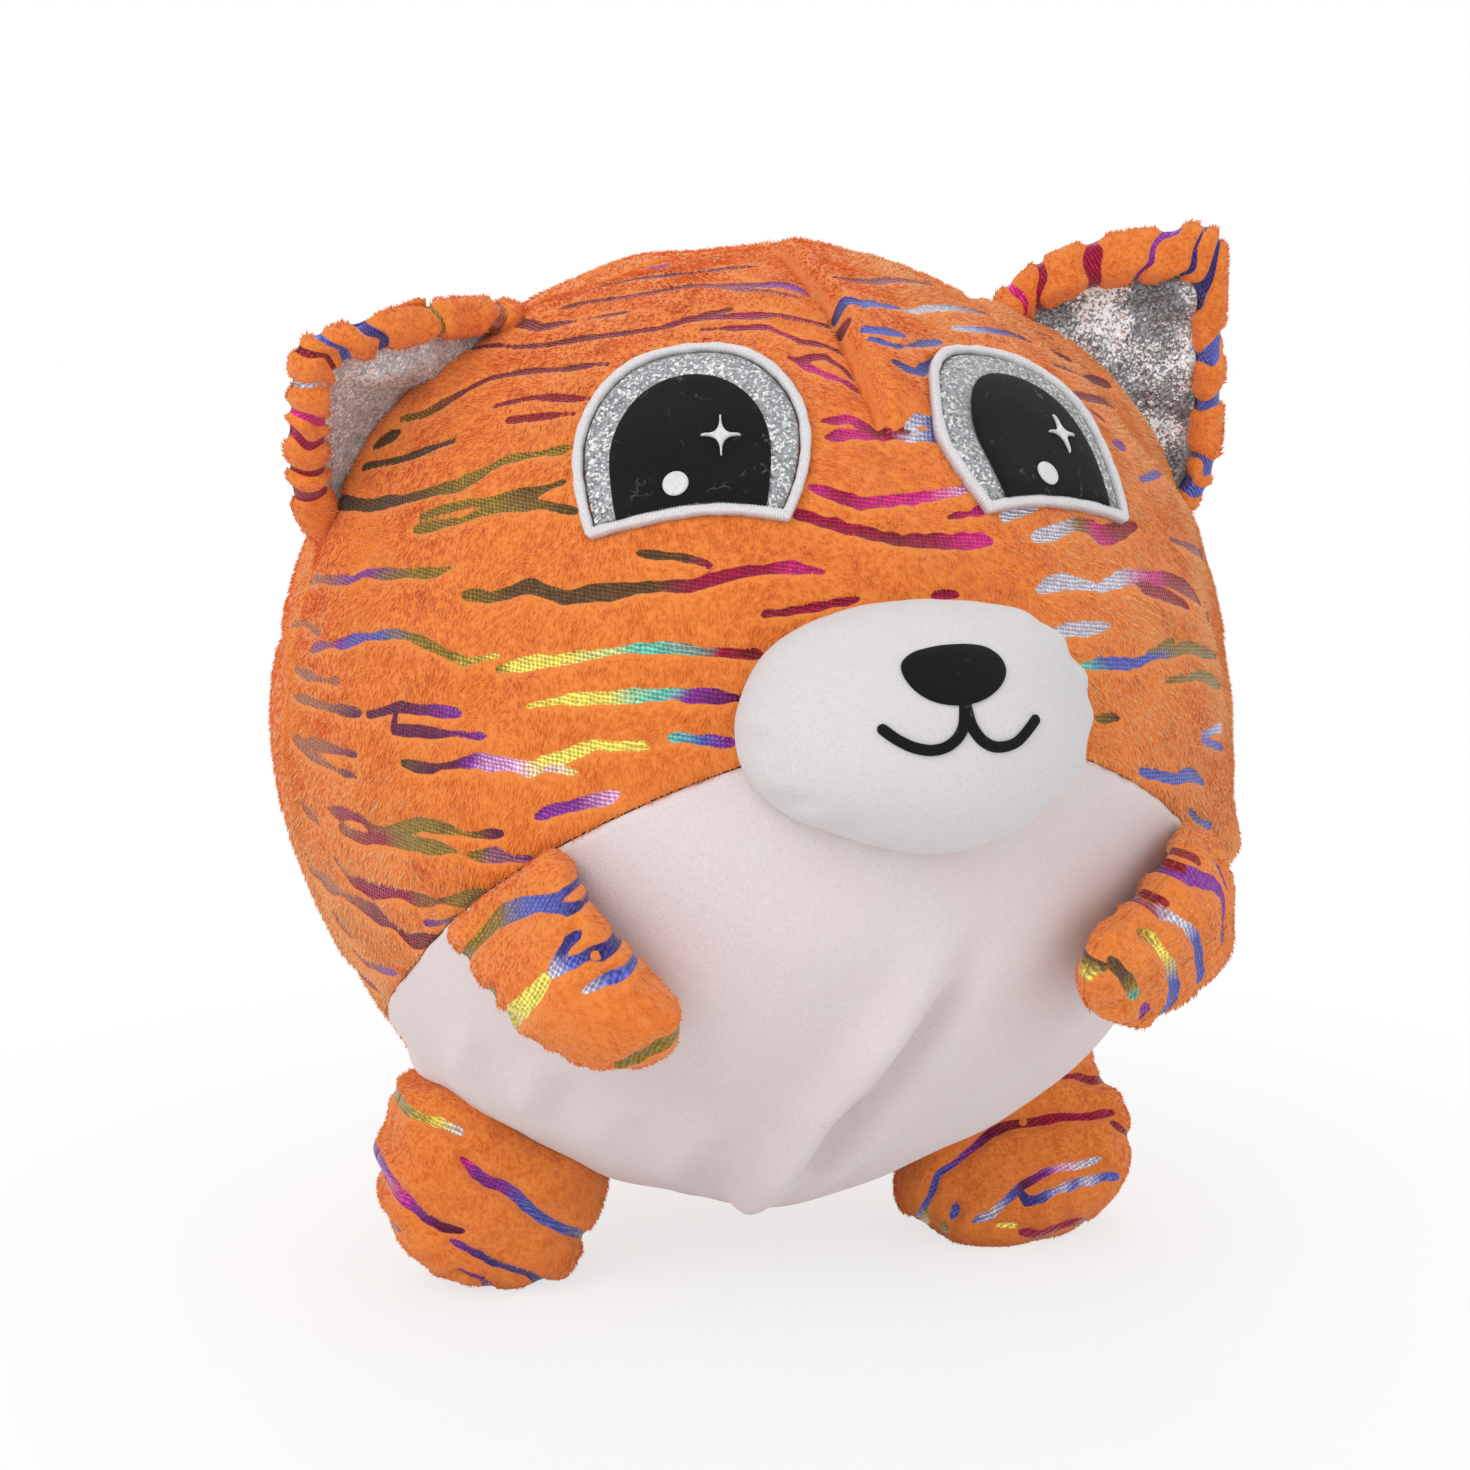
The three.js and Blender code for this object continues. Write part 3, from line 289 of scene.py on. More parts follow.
# Floor and world
VIEW_RAYS = ("Camera", "Glossy", "Transmission")
WHITE, FLOOR_GREY = (1.0, 1.0, 1.0, 1.0), (0.9, 0.9, 0.9, 1.0)
SHADOW_REACH, SHADOW_HELD = (0.10, 0.30), 0.72
FLOOR_HALF, WORLD_LIGHT = 4, 0.60

# Stripes of the face: width, foils from end to end, path as (azimuth, elevation)
FACE_STRIPES = (
    (2.1, "wine", ((-102, 57), (-66, 57), (-46, 61))),
    (2.1, "olive wine wine wine wine crimson wine",
     ((-94.5, 48.5), (-85, 51), (-75, 51.5), (-71, 53), (-47.5, 55.5), (-35.5, 57.5), (-30, 59),
      (-15, 59), (-0.5, 58), (1.5, 56))),
    (1.6, "wine", ((-28, 59.5), (-21, 60.5))),
    (2.0, "olive wine wine wine", ((-75, 40), (-72, 41.5), (-65, 48), (-59.5, 49.5), (-41.5, 50.5))),
    (1.8, "red", ((-59, 43.5), (-52, 45.5), (-42, 45.5))),
    (1.7, "red", ((-54.5, 42), (-43, 43.5))),
    (2.0, "bronze", ((-77, 36), (-74.5, 38.5))),
    (2.0, "bronze", ((-77.5, 33.5), (-70, 36.5), (-62, 39))),
    (2.8, "rust bronze bronze olive olive",
     ((-96, 28), (-78, 29.5), (-67.5, 31), (-58, 33.5), (-51.5, 37), (-42.5, 39))),
    (2.1, "olive olive bronze", ((-62, 29.5), (-58.5, 30.5), (-45.5, 33), (-41, 35))),
    (2.2, "olive olive bronze",
     ((-62, 28), (-54.5, 29.5), (-52, 30.5), (-48.5, 31.5), (-43.5, 32), (-38.5, 31.5))),
    (2.0, "rust rust violet olive olive",
     ((-86.5, 20), (-71, 21.5), (-68.5, 22.5), (-56, 23.5), (-53, 24.5))),
    (2.7, "olive bronze bronze bronze crimson crimson magenta",
     ((-51, 21.5), (-47.5, 21.5), (-43, 23), (-38, 22), (-27, 23.5), (-23.5, 23.5), (-18, 25),
      (-12.5, 25.5), (-8.5, 25))),
    (1.6, "bronze bronze crimson", ((-30, 27), (-23.5, 26.5), (-21, 25.5))),
    (1.6, "wine crimson crimson", ((-15.5, 20.5), (-5, 22))),
    (2.0, "olive gold gold mint mint crimson wine", ((-45, 14), (-28.5, 17), (-15.5, 16.5))),
    (2.3, "gold gold gold mint violet plum",
     ((-40.5, 10.5), (-35.5, 11.5), (-29.5, 12), (-25, 12.5), (-17.5, 12))),
    (1.8, "mint blue violet", ((-25, 8), (-18.5, 7.5))),
    (2.5, "bronze plum violet pink gold gold gold",
     ((-57, 3), (-52.5, 3), (-46.5, 4.5), (-40, 4), (-32.5, 7), (-27.5, 7))),
    (2.0, "pink gold", ((-39, 4.5), (-34.5, 4))),
    (2.7, "violet violet pink", ((-39.5, -1), (-37.5, 0), (-30.5, 2))),
    (2.1, "plum plum violet", ((-63.5, 7.5), (-57.5, 9), (-49, 9))),
    (2.2, "plum plum violet", ((-58.5, 8), (-58.5, 6.5), (-45.5, 7))),
    (2.0, "rust rust plum", ((-84, 7), (-64.5, 7.5))),
    (2.0, "rust", ((-89, 14.5), (-83.5, 15.5), (-75.5, 15))),
    (2.1, "rust violet blue olive olive gold",
     ((-78, 13), (-60.5, 16.5), (-58, 16.5), (-49, 14.5), (-45, 15.5))),
    (2.0, "rust", ((-84.5, 10), (-73.5, 10), (-69.5, 10.5))),
    (2.0, "rust rust plum", ((-83, 2), (-77.5, 2.5), (-65, 3))),
    (2.0, "rust rust plum", ((-82, 1.5), (-70.5, 0.5), (-65, 0.5))),
    (2.7, "rust", ((-80.5, -5), (-76, -6.5))),
    (2.2, "rust crimson olive olive plum",
     ((-73.5, -4.5), (-65, -4), (-63, -5), (-60.5, -5), (-54, -3), (-47.5, -3.5), (-43.5, -3))),
    (2.8, "rust crimson olive olive violet",
     ((-70, -6), (-64.5, -6.5), (-59.5, -5.5), (-42, -5.5), (-40.5, -5.5))),
    (3.2, "rust crimson crimson olive olive",
     ((-72.5, -10), (-69.5, -12), (-65.5, -12.5), (-60.5, -12), (-54.5, -12), (-46.5, -10))),
    (3.3, "rust rust wine wine",
     ((-84, -13.5), (-76, -14), (-66, -15.5), (-62, -16.5), (-60, -18), (-55.5, -17))),
    (1.6, "violet olive", ((-56.5, -15), (-54, -14.5), (-50.5, -13.5))),
    (3.7, "rust", ((-78.5, -18.5), (-76, -20.5))),
    (2.2, "rust violet", ((-78, -23), (-76, -24.5), (-66.5, -23.5))),
    (2.7, "wine plum wine",
     ((-72.5, 66), (-70.5, 68), (-62.5, 70.5), (-40, 72), (-30, 74), (-14.5, 75))),
    (2.6, "wine", ((-66.5, 61), (-63, 63), (-57.5, 64.5), (-34.5, 67), (-5, 64.5))),
    (2.8, "wine violet", ((-26, 67), (-6.5, 68.5), (-1.5, 66.5), (-0.5, 65.5))),
    (2.1, "violet", ((-71, 74.5), (-64, 75), (-63.5, 76.5))),
    (1.6, "wine", ((-47.5, 79.5), (-6, 82.5))),
    (1.7, "wine crimson wine", ((-29, 57), (-13.5, 56.5), (-8, 54), (-3, 54), (0, 53))),
    (1.6, "crimson wine", ((-11, 51.5), (-9, 51), (-4, 52), (-1.5, 50.5), (0, 49))),
    (2.0, "crimson magenta wine", ((-9.5, 51), (-5, 49), (-2, 48.5), (0.5, 47))),
    (2.4, "wine", ((5, 65.5), (9.5, 65.5), (31, 68.5), (58.5, 67.5))),
    (2.7, "navy blue blue", ((1.5, 60), (2.5, 59), (5.5, 58.5), (19.5, 61.5))),
    (2.6, "silver silver wine", ((21, 61), (30, 62), (39.5, 62), (53.5, 59.5))),
    (2.2, "blue", ((2.5, 53.5), (11.5, 54))),
    (2.1, "blue navy blue", ((3, 52), (8, 51.5), (12.5, 52.5), (22.5, 55))),
    (1.9, "navy blue", ((5.5, 49), (7.5, 48), (10, 48), (16, 51))),
    (3.2, "silver blue wine", ((30, 57.5), (36.5, 57), (49.5, 55.5), (54, 54))),
    (2.0, "crimson magenta wine wine", ((-7, 42.5), (-2.5, 43), (3, 40.5), (5.5, 41))),
    (2.2, "crimson magenta crimson silver blue", ((-6.5, 40.5), (-3, 41), (10.5, 40))),
    (2.4, "silver blue", ((5, 41), (7, 42), (11, 41.5))),
    (2.2, "magenta crimson magenta magenta pink", ((-9.5, 34.5), (-3.5, 32.5), (11, 33.5))),
    (3.0, "crimson crimson wine crimson magenta", ((-11.5, 31.5), (1, 28), (12, 27.5))),
    (1.6, "crimson magenta", ((7.5, 30.5), (12.5, 31))),
    (1.7, "silver", ((14.5, 30), (21, 31))),
    (3.5, "silver silver olive magenta red red",
     ((18.5, 27.5), (26.5, 29), (29, 28.5), (30.5, 27), (40, 28))),
    (3.1, "silver silver silver magenta red red",
     ((17.5, 22), (20.5, 22.5), (27.5, 21.5), (32.5, 22.5), (42, 21.5), (51.5, 17.5))),
    (3.0, "red", ((35, 21.5), (46, 17.5))),
    (2.1, "silver", ((18.5, 17.5), (27.5, 17.5))),
    (2.2, "mint blue blue olive olive bronze",
     ((21.5, 13.5), (24.5, 13.5), (31.5, 13), (33.5, 13.5), (43, 13.5), (54, 11))),
    (1.6, "olive", ((32.5, 13.5), (39.5, 14.5))),
    (2.0, "olive", ((35.5, 10.5), (44.5, 10), (54.5, 7.5))),
    (1.6, "olive bronze", ((23, 8), (26.5, 7.5))),
    (2.3, "wine", ((47.5, 25.5), (65.5, 21.5))),
    (3.3, "wine", ((51, 15.5), (56.5, 15.5))),
    (1.7, "blue silver", ((44, 3.5), (53, 3))),
    (1.6, "blue", ((44, 3), (53, 0.5))),
    (2.2, "blue", ((30, 1.5), (37, -0.5), (40.5, -0.5), (46.5, -2.5))),
    (1.8, "navy blue", ((41, -4.5), (46, -7), (52, -8.5))),
    (1.6, "crimson", ((3.5, 22), (6.5, 22))),
    (1.6, "wine", ((66, 55.5), (70, 52.5))),
    (2.3, "wine", ((61, 52), (67.5, 49.5))),
    (2.5, "wine", ((49, 50), (52.5, 49), (70, 46), (73.5, 44))),
    (2.5, "wine", ((46.5, 45), (66, 42))),
    (2.0, "wine", ((47.5, 42.5), (50.5, 41))),
    (3.2, "violet", ((46.5, 38), (50.5, 37.5))),
    (1.6, "violet", ((66, 36), (67, 34.5))),
    (1.8, "violet blue violet", ((48, 33), (60, 33))),
    (1.9, "blue violet", ((60, 33), (67, 31.5), (69, 29))),
)

# Stripes of the limbs' outer sides: width, foils, path on the limb's own (across, along)
ARM_STRIPES = {
    "left": (
        (2.6, "olive olive olive blue navy",
         ((-18, 2.4), (-12.3, 2.2), (-5.3, 2.3), (0.2, 3), (4.9, 4.7), (10.8, 8.1), (16.9, 12))),
        (2.0, "blue navy", ((11.2, 8.8), (14.2, 11.9), (16.1, 15.2))),
        (3.4, "olive gold gold gold", ((-14, 16.4), (-7.3, 16.9), (0.4, 17.6), (5.1, 17.9))),
        (1.6, "silver navy navy", ((5.1, 17.9), (8.6, 17.4), (11.6, 17.4), (13.8, 17.8))),
        (2.2, "silver blue navy navy",
         ((5.1, 17.9), (8.7, 19.6), (11.5, 21.6), (14, 24), (15.5, 25.6))),
        (1.7, "silver blue blue", ((6.3, 24.5), (9.3, 26), (13.8, 29.5))),
        (2.2, "olive", ((-6.1, 37.2), (-0.4, 39.5), (4.8, 41.6), (9, 44))),
        (1.9, "olive", ((-15, 11), (-10, 11.2), (-7, 11.1))),
    ),
    "right": (
        (1.8, "red", ((21, 16.5), (17, 15.5))),
        (2.4, "red", ((21.5, 21.1), (18, 19.8))),
        (1.6, "red", ((20.5, 29.5), (17.5, 27))),
        (2.7, "violet violet violet", ((19.2, 21.2), (16.8, 18.7), (13.1, 15.9), (10.4, 15.6))),
        (1.8, "violet violet blue", ((10.4, 15.6), (5.2, 17.2), (0, 19))),
        (1.4, "violet", ((12.9, 10.4), (11.7, 10.8), (10.2, 12.6), (8.5, 13))),
        (1.6, "crimson silver silver", ((18.6, 30.5), (16.2, 28.3), (12.7, 26.6))),
        (2.4, "silver blue blue blue", ((12.7, 26.6), (6.8, 25.4), (0.8, 26.7), (-3, 27.5))),
        (1.5, "olive gold gold", ((17.7, 35.2), (15.8, 33.8), (12, 34.1), (9, 33.4))),
        (2.7, "gold blue blue blue", ((9.5, 33.5), (7, 32.9), (2.6, 33.1), (-2.6, 34.1), (-8, 37))),
        (2.6, "bronze bronze olive mint", ((17, 42.9), (15.3, 43), (11.7, 42.4), (4.9, 41.5))),
        (2.0, "violet", ((2, 40), (-3.5, 40.3))),
        (2.3, "bronze gold olive", ((16.5, 44.5), (15.5, 47.1), (12, 51))),
    ),
}
FOOT_STRIPES = {
    "left": (
        (2.0, "olive olive gold silver", ((-33, 9), (-26.5, 6.7), (-21.2, 4.4), (-15.4, 3.7))),
        (2.1, "plum violet magenta violet plum plum",
         ((-29, 17), (-24.7, 21.1), (-20.4, 23.7), (-17.5, 24.6), (-12.5, 25.7), (-8.4, 25.4),
          (-3.4, 23.8))),
        (2.3, "magenta violet violet blue blue blue olive olive",
         ((-12.9, 8.6), (-8.5, 10.1), (-4.5, 10.6), (-1.2, 10), (2.2, 10.4), (7.2, 11.9), (11.2, 12.6),
          (21.4, 12.8), (32, 13.4))),
        (2.0, "violet navy navy bronze",
         ((-4.4, 27), (3.8, 27.2), (8.2, 27.5), (17.6, 26.9), (26, 27.5))),
        (1.5, "violet plum", ((1.8, 33.6), (4.7, 33), (8.6, 32.9), (13, 34))),
        (1.4, "plum", ((-15.4, 31.9), (-13.4, 32.8))),
    ),
    "right": (
        (1.5, "crimson wine", ((-13.9, 10.1), (-17.5, 12.7), (-22.1, 16.6), (-27, 20))),
        (2.0, "blue blue violet plum wine crimson crimson crimson",
         ((33, 17), (31.4, 16.1), (27.8, 13.6), (24.6, 11.5), (19.8, 11.8), (14.8, 11.3), (8.4, 10.8),
          (5.1, 11.6), (0.6, 13.8), (-7.4, 18.1), (-12.6, 21.6), (-20.9, 25.3))),
        (1.4, "wine", ((-18.2, 27.3), (-20.4, 31.9), (-23, 35))),
        (2.1, "blue silver blue plum violet pink silver silver",
         ((24.4, 26.4), (20.3, 27.3), (14, 26.6), (9.9, 26), (6.4, 26.4), (2.3, 27.1), (-2.1, 29),
          (-5.9, 31), (-9.7, 32.3))),
        (2.4, "navy navy blue silver blue silver blue blue",
         ((11.1, 26.6), (10.8, 30), (7.7, 31.3), (3.1, 32.4), (-2, 33.9), (-6.1, 36.1),
          (-11.5, 38.6))),
        (2.0, "blue", ((28, 22.3), (25.3, 20.4))),
        (1.3, "gold", ((20.3, 30.5), (16.4, 33.7))),
        (1.6, "olive gold", ((31.6, 16.6), (32.5, 19.8), (33, 25.3))),
        (1.5, "olive", ((29.9, 21.6), (30.1, 24.4))),
        (1.2, "crimson", ((16.5, 35.1), (12.4, 38.1), (7.3, 39.7), (0.4, 42.1))),
    ),
}

# Rings of foil round the ears' rims: turn about the ear's middle, width, foil
EAR_RINGS = {
    "left": (
        (158, 2.4, "rust"), (123, 2.2, "olive"), (98, 1.8, "navy"), (87, 2.0, "blue"),
        (81, 2.2, "wine"), (73, 1.7, "silver"), (65, 1.9, "magenta"), (57, 2.3, "crimson"),
        (46, 1.4, "red"), (34, 3.0, "crimson"),
    ),
    "right": (
        (166, 1.8, "magenta"), (158, 2.4, "crimson"), (138, 2.4, "crimson"), (118, 2.3, "violet"),
        (108, 1.3, "navy"), (101, 3.0, "navy"), (80, 2.6, "blue"), (61, 2.4, "blue"),
        (30, 2.6, "blue"), (21, 2.0, "blue"),
    ),
}

# Stripes strewn over the cover's sides and back: foils that go together, then sizes in millimetres
STREWN_FOILS = (
    ("rust wine", "wine crimson", "olive bronze"), ("violet blue", "blue navy", "plum violet"),
    ("gold olive", "mint blue", "olive gold"), ("crimson magenta", "magenta pink", "silver blue"),
)
STREWN_LENGTH, STREWN_WIDTH, STREWN_GAP, STREWN_ROW = (18, 52), (2.4, 4.0), (7, 18), 8.2
STREWN_CLEAR, STREWN_OVERRUN = 6.5, 6
STREWN_STEPS, STREWN_START, STREWN_NARROWEST, STREWN_ASIDE = 7, 12, 0.12, 1.6
STREWN_WAVE, STREWN_WAVES, STREWN_PHASE, STREWN_TILT = 1.1, (4, 8), 6, 2.4
DRIFT_ROUND, DRIFT_UP, DRIFT_SCATTER = 1.7, 2.6, 1.2
FORK_SHARE, FORK_RISE, FORK_WIDTH = 0.3, 4.5, (1.8, 2.6)
# Where they are strewn: seed, azimuths, elevations
STREWN_AREAS = ((3, (64, 266), (-78, 84)), (4, (-108, -70), (-60, -20)))

# How each kind of limb is sewn: its faces and their own values
LIMBS = {
    "arm": dict(faces=("outer", "inner"), half=ARM_HALF_THICKNESS, full=ARM_FULL, pinch=ARM_PINCH,
                bend=ARM_BEND, clear=ARM_CLEAR, stripes=ARM_STRIPES, seed=3, paints_sheen=True),
    "foot": dict(faces=("front", "back"), half=FOOT_HALF_THICKNESS, full=FOOT_FULL, pinch=FOOT_PINCH,
                 bend=FOOT_BEND, clear=FOOT_CLEAR, stripes=FOOT_STRIPES, seed=4, paints_sheen=False),
}

# Seeds of the unevenness and of the random draws
SEAM_SEED, PUCKER_SEED, STITCH_SEED, FILLING_SEED = 21, 22, 51, 99
STRIPE_SEEDS, MUZZLE_SEEDS = (31, 32), (61, 62)
PILE_SEED = 40


def unit_at(azimuth, elevation):
    """The direction at an azimuth from the front towards +X and an elevation, in degrees."""
    a, e = np.radians(azimuth), np.radians(elevation)
    return np.stack([np.sin(a) * np.cos(e), -np.cos(a) * np.cos(e), np.sin(e)], axis=-1)


def bearing(unit):
    """Azimuth and elevation of a direction, in degrees."""
    azimuth = np.degrees(np.arctan2(unit[..., 0], -unit[..., 1]))
    return azimuth, np.degrees(np.arcsin(np.clip(unit[..., 2], -1, 1)))


def unit_of(vectors):
    """Vectors brought to length 1."""
    return vectors / np.maximum(np.linalg.norm(vectors, axis=-1, keepdims=True), 1e-9)


def spaced(u, v, w=0.0):
    """Points of space from their three parts."""
    return np.stack(np.broadcast_arrays(u, v, w), axis=-1)


def turned(vector, axis, angle):
    """A vector turned about an axis: its parts along the axis, across it and a quarter turn on, summed."""
    c, s = np.cos(np.radians(angle)), np.sin(np.radians(angle))
    return vector * c + np.cross(axis, vector) * s + axis * np.dot(axis, vector) * (1 - c)


def smooth(value, low, high):
    """0 up to low, 1 from high, and 3t^2 - 2t^3 between."""
    t = np.clip((value - low) / (high - low), 0, 1)
    return t * t * (3 - 2 * t)


def bell(value, width):
    """A bell curve of height 1: the exponential of minus the square of value over width."""
    return np.exp(-(value / width) ** 2)


def unevenness(points, wave, seed, count=12):
    """Smooth unevenness of about unit spread: summed sine waves of about one length in seeded directions."""
    rng = np.random.default_rng(seed)
    ways = unit_of(rng.normal(size=(count, 3))) * (2 * np.pi / (wave * rng.uniform(0.7, 1.4, (count, 1))))
    return np.sin(points @ ways.T + rng.uniform(0, 2 * np.pi, count)).sum(axis=-1) / np.sqrt(count / 2)


def line_distance(points, path):
    """Distance from points to a polyline, and the share of its length at the nearest place."""
    starts, steps = path[:-1], np.diff(path, axis=0)
    lengths = np.linalg.norm(steps, axis=1)
    reach = ((points[:, None] - starts) * steps).sum(-1) / np.maximum(lengths ** 2, 1e-9)
    share = np.clip(reach, 0, 1)
    apart = np.linalg.norm(points[:, None] - starts - share[..., None] * steps, axis=-1)
    nearest = apart.argmin(axis=1)
    rows = np.arange(len(points))
    begun = np.concatenate([[0], np.cumsum(lengths)[:-1]])
    along = begun[nearest] + share[rows, nearest] * lengths[nearest]
    return apart[rows, nearest], along / lengths.sum()


def drawn_radius(unit):
    """The ball's radius, drawn in most midway between its waist and its lowest point."""
    low = np.maximum(0, -unit[..., 2]) ** 2
    return BALL_RADIUS - LOWER_DRAW_IN * 4 * low * (1 - low)


def face_seam(azimuth):
    """Elevation of the seam of face and belly: a drop by a power of the azimuth, eased at the sides."""
    drop = FACE_SEAM_DROP * (np.abs(azimuth) / 90) ** FACE_SEAM_POWER
    return FACE_SEAM_TOP - drop + FACE_SEAM_LIFT * smooth(np.abs(azimuth), FACE_SEAM_LIFT_FROM, 90)


def folds_at(unit, folds):
    """Height of soft folds: a bell curve across each path, fading at the path's ends."""
    points = unit.reshape(-1, 3) * BALL_RADIUS
    total = np.zeros(len(points))
    for height, half, path in folds:
        azimuth, elevation = np.array(path, float).T
        apart, along = line_distance(points, unit_at(azimuth, elevation) * BALL_RADIUS)
        fade = smooth(along, *FOLD_START) * (1 - FOLD_END_LOSS * smooth(along, *FOLD_END))
        total += height * fade * bell(apart, half)
    return total.reshape(unit.shape[:-1])


def dart_place(unit):
    """Distance across the forehead dart's crease, towards +X, and its strength, fading at its ends."""
    elevation = bearing(unit)[1]
    swing = DART_SWING * (1 - smooth(elevation, DART_END, DART_STRAIGHT_FROM))
    across = unit[..., 0] * BALL_RADIUS - DART_ASIDE - swing
    ahead = smooth(-unit[..., 1] * BALL_RADIUS, *DART_BACK)
    return across, smooth(elevation, DART_END, DART_TOP) * ahead


def dart_at(unit):
    """The forehead dart: the left side dips to a crease and the right side stands over it as a roll."""
    x, strength = dart_place(unit)
    left, right = np.minimum(x, 0), np.maximum(x, 0)
    dip = DART_DIP * bell(left, DART_DIP_LEFT) * bell(right, DART_DIP_RIGHT)
    crease = DART_CREASE * bell(left, DART_CREASE_LEFT) * bell(right, DART_CREASE_RIGHT)
    stand = DART_STAND * (1 - bell(right, DART_STAND_RISE)) * bell(right, DART_STAND_WIDTH)
    settled = 1 - DART_STAND_LOSS * smooth(bearing(unit)[1], *DART_LOSS_RISE)
    return (stand * settled - dip - crease) * strength


def ear_swell(unit):
    """The cover's swell ahead of the ears: a bell curve across a line beside each ear's root."""
    points = unit.reshape(-1, 3) * BALL_RADIUS
    along = np.linspace(-EAR_HALF_BASE, EAR_HALF_BASE, EAR_SWELL_STEPS)[:, None] * np.cross(EAR_OUT, FRONT)
    path = unit_of(EAR_OUT * BALL_RADIUS + along + FRONT * (EAR_FORWARD + EAR_SWELL_AHEAD)) * BALL_RADIUS
    total = np.zeros(len(points))
    for side in SIDES:
        apart, share = line_distance(points * MIRROR[side], path)
        fade = np.sin(np.pi * np.clip(share, *EAR_SWELL_ENDS)) ** EAR_SWELL_FADE
        total += EAR_SWELL * bell(apart, EAR_SWELL_WIDTH) * fade
    return total.reshape(unit.shape[:-1])


def cover_height(unit):
    """The cloth's distance from the ball's middle: the drawn ball, its stuffing's lumps, dart and folds."""
    points = unit * BALL_RADIUS
    lumps = sum(height * unevenness(points, wave, seed) for height, wave, seed in BALL_LUMPS)
    for height, width, azimuth, elevation in BALL_SWELLS:
        gap = np.arccos(np.clip(unit @ unit_at(azimuth, elevation), -1, 1)) * BALL_RADIUS
        lumps = lumps + height * bell(gap, width)
    folded = dart_at(unit) + folds_at(unit, BELLY_FOLDS) + ear_swell(unit)
    return drawn_radius(unit) - PILE_BED + lumps + folded


def on_cover(unit, height=0.0):
    """A point over the cover's cloth."""
    return unit * (cover_height(unit) + height)[..., None]


def ball_chart(middle, across):
    """A chart on the ball: across and its quarter turn are arcs from the middle along great circles."""
    up = np.cross(middle, across)

    def at(u, v):
        """The direction at a place on the chart."""
        arc = np.hypot(u, v)
        share = np.sinc(arc / BALL_RADIUS / np.pi) / BALL_RADIUS
        return (np.cos(arc / BALL_RADIUS)[..., None] * middle
                + (u * share)[..., None] * across + (v * share)[..., None] * up)

    def back(unit):
        """A direction's place on the chart, and the cosine of its angle from the middle."""
        cosine = np.clip(unit @ middle, -1, 1)
        stretch = BALL_RADIUS / np.maximum(np.sinc(np.arccos(cosine) / np.pi), 1e-6)
        return stretch * (unit @ across), stretch * (unit @ up), cosine

    return at, back


def inside(u, v, outline):
    """Whether points lie inside a closed outline: an odd number of its edges lie to their right."""
    ends = np.roll(outline, -1, axis=0)
    odd = np.zeros(u.shape, bool)
    for (x0, y0), (x1, y1) in zip(outline, ends):
        if y0 != y1:
            odd ^= ((y0 > v) != (y1 > v)) & (u < x0 + (v - y0) * (x1 - x0) / (y1 - y0))
    return odd


def curve(start, control, end, count):
    """A quadratic curve from start to end drawn towards a control point, without its end."""
    t = np.linspace(0, 1, count, endpoint=False)[:, None]
    start, control, end = (np.array(p, float) for p in (start, control, end))
    return start * (1 - t) ** 2 + control * 2 * t * (1 - t) + end * t ** 2


def gone_along(line):
    """The length gone along a line at each of its points."""
    return np.concatenate([[0], np.cumsum(np.linalg.norm(np.diff(line, axis=0), axis=1))])


def even(outline, count):
    """A closed outline resampled at even steps of its length."""
    closed = np.vstack([outline, outline[:1]])
    gone = gone_along(closed)
    at = np.linspace(0, gone[-1], count, endpoint=False)
    return np.stack([np.interp(at, gone, closed[:, k]) for k in range(2)], axis=1)


def rounded(points, count, passes):
    """A closed outline through points, softened by repeated averaging of neighbours."""
    line = even(np.array(points, float), count)
    for _ in range(passes):
        line = (np.roll(line, 1, axis=0) + 2 * line + np.roll(line, -1, axis=0)) / 4
    return line


def eased(values, count):
    """Values at even steps round an outline, joined by a cubic through each four neighbours."""
    held = np.asarray(values, float)
    at = np.arange(count) / count * len(held)
    step = np.floor(at).astype(int)
    t = at - step
    a, b, c, d = (held[(step + k) % len(held)] for k in (-1, 0, 1, 2))
    squared, cubed = (2 * a - 5 * b + 4 * c - d) * t ** 2, (3 * b - 3 * c + d - a) * t ** 3
    return (2 * b + (c - a) * t + squared + cubed) / 2


def dome_outline(count, half, corners, top, bottom, bow, waist):
    """A domed patch: a half ellipse over sides that draw in to a bowed lower edge."""
    flank = (bottom + waist) / 2
    turn = np.linspace(0, np.pi, DOME_STEPS, endpoint=False)
    dome = np.stack([half * np.cos(turn), waist + (top - waist) * np.sin(turn)], axis=1)
    inner, outer = corners
    lower = curve((-inner, bottom), (0, bottom + bow), (outer, bottom), LOWER_STEPS)
    right = curve((outer, bottom), (half, flank), (half, waist), FLANK_STEPS)
    left = curve((-half, waist), (-half, flank), (-inner, bottom), FLANK_STEPS)
    return even(np.vstack([lower, right, dome, left]), count)


def outward(outline):
    """Unit normals of an anticlockwise outline."""
    along = unit_of(np.roll(outline, -1, axis=0) - np.roll(outline, 1, axis=0))
    return np.stack([along[:, 1], -along[:, 0]], axis=1)


def signed_power(value, power):
    """A power of a value's size, with the value's sign."""
    return np.sign(value) * np.abs(value) ** power


def oval(count, half_width, half_height, squareness):
    """A rounded oval: powers of the cosine and sine of an even turn."""
    turn = np.linspace(0, 2 * np.pi, count, endpoint=False)
    x, y = (signed_power(part, 2 / squareness) for part in (np.cos(turn), np.sin(turn)))
    return even(np.stack([half_width * x, half_height * y], axis=1), count)


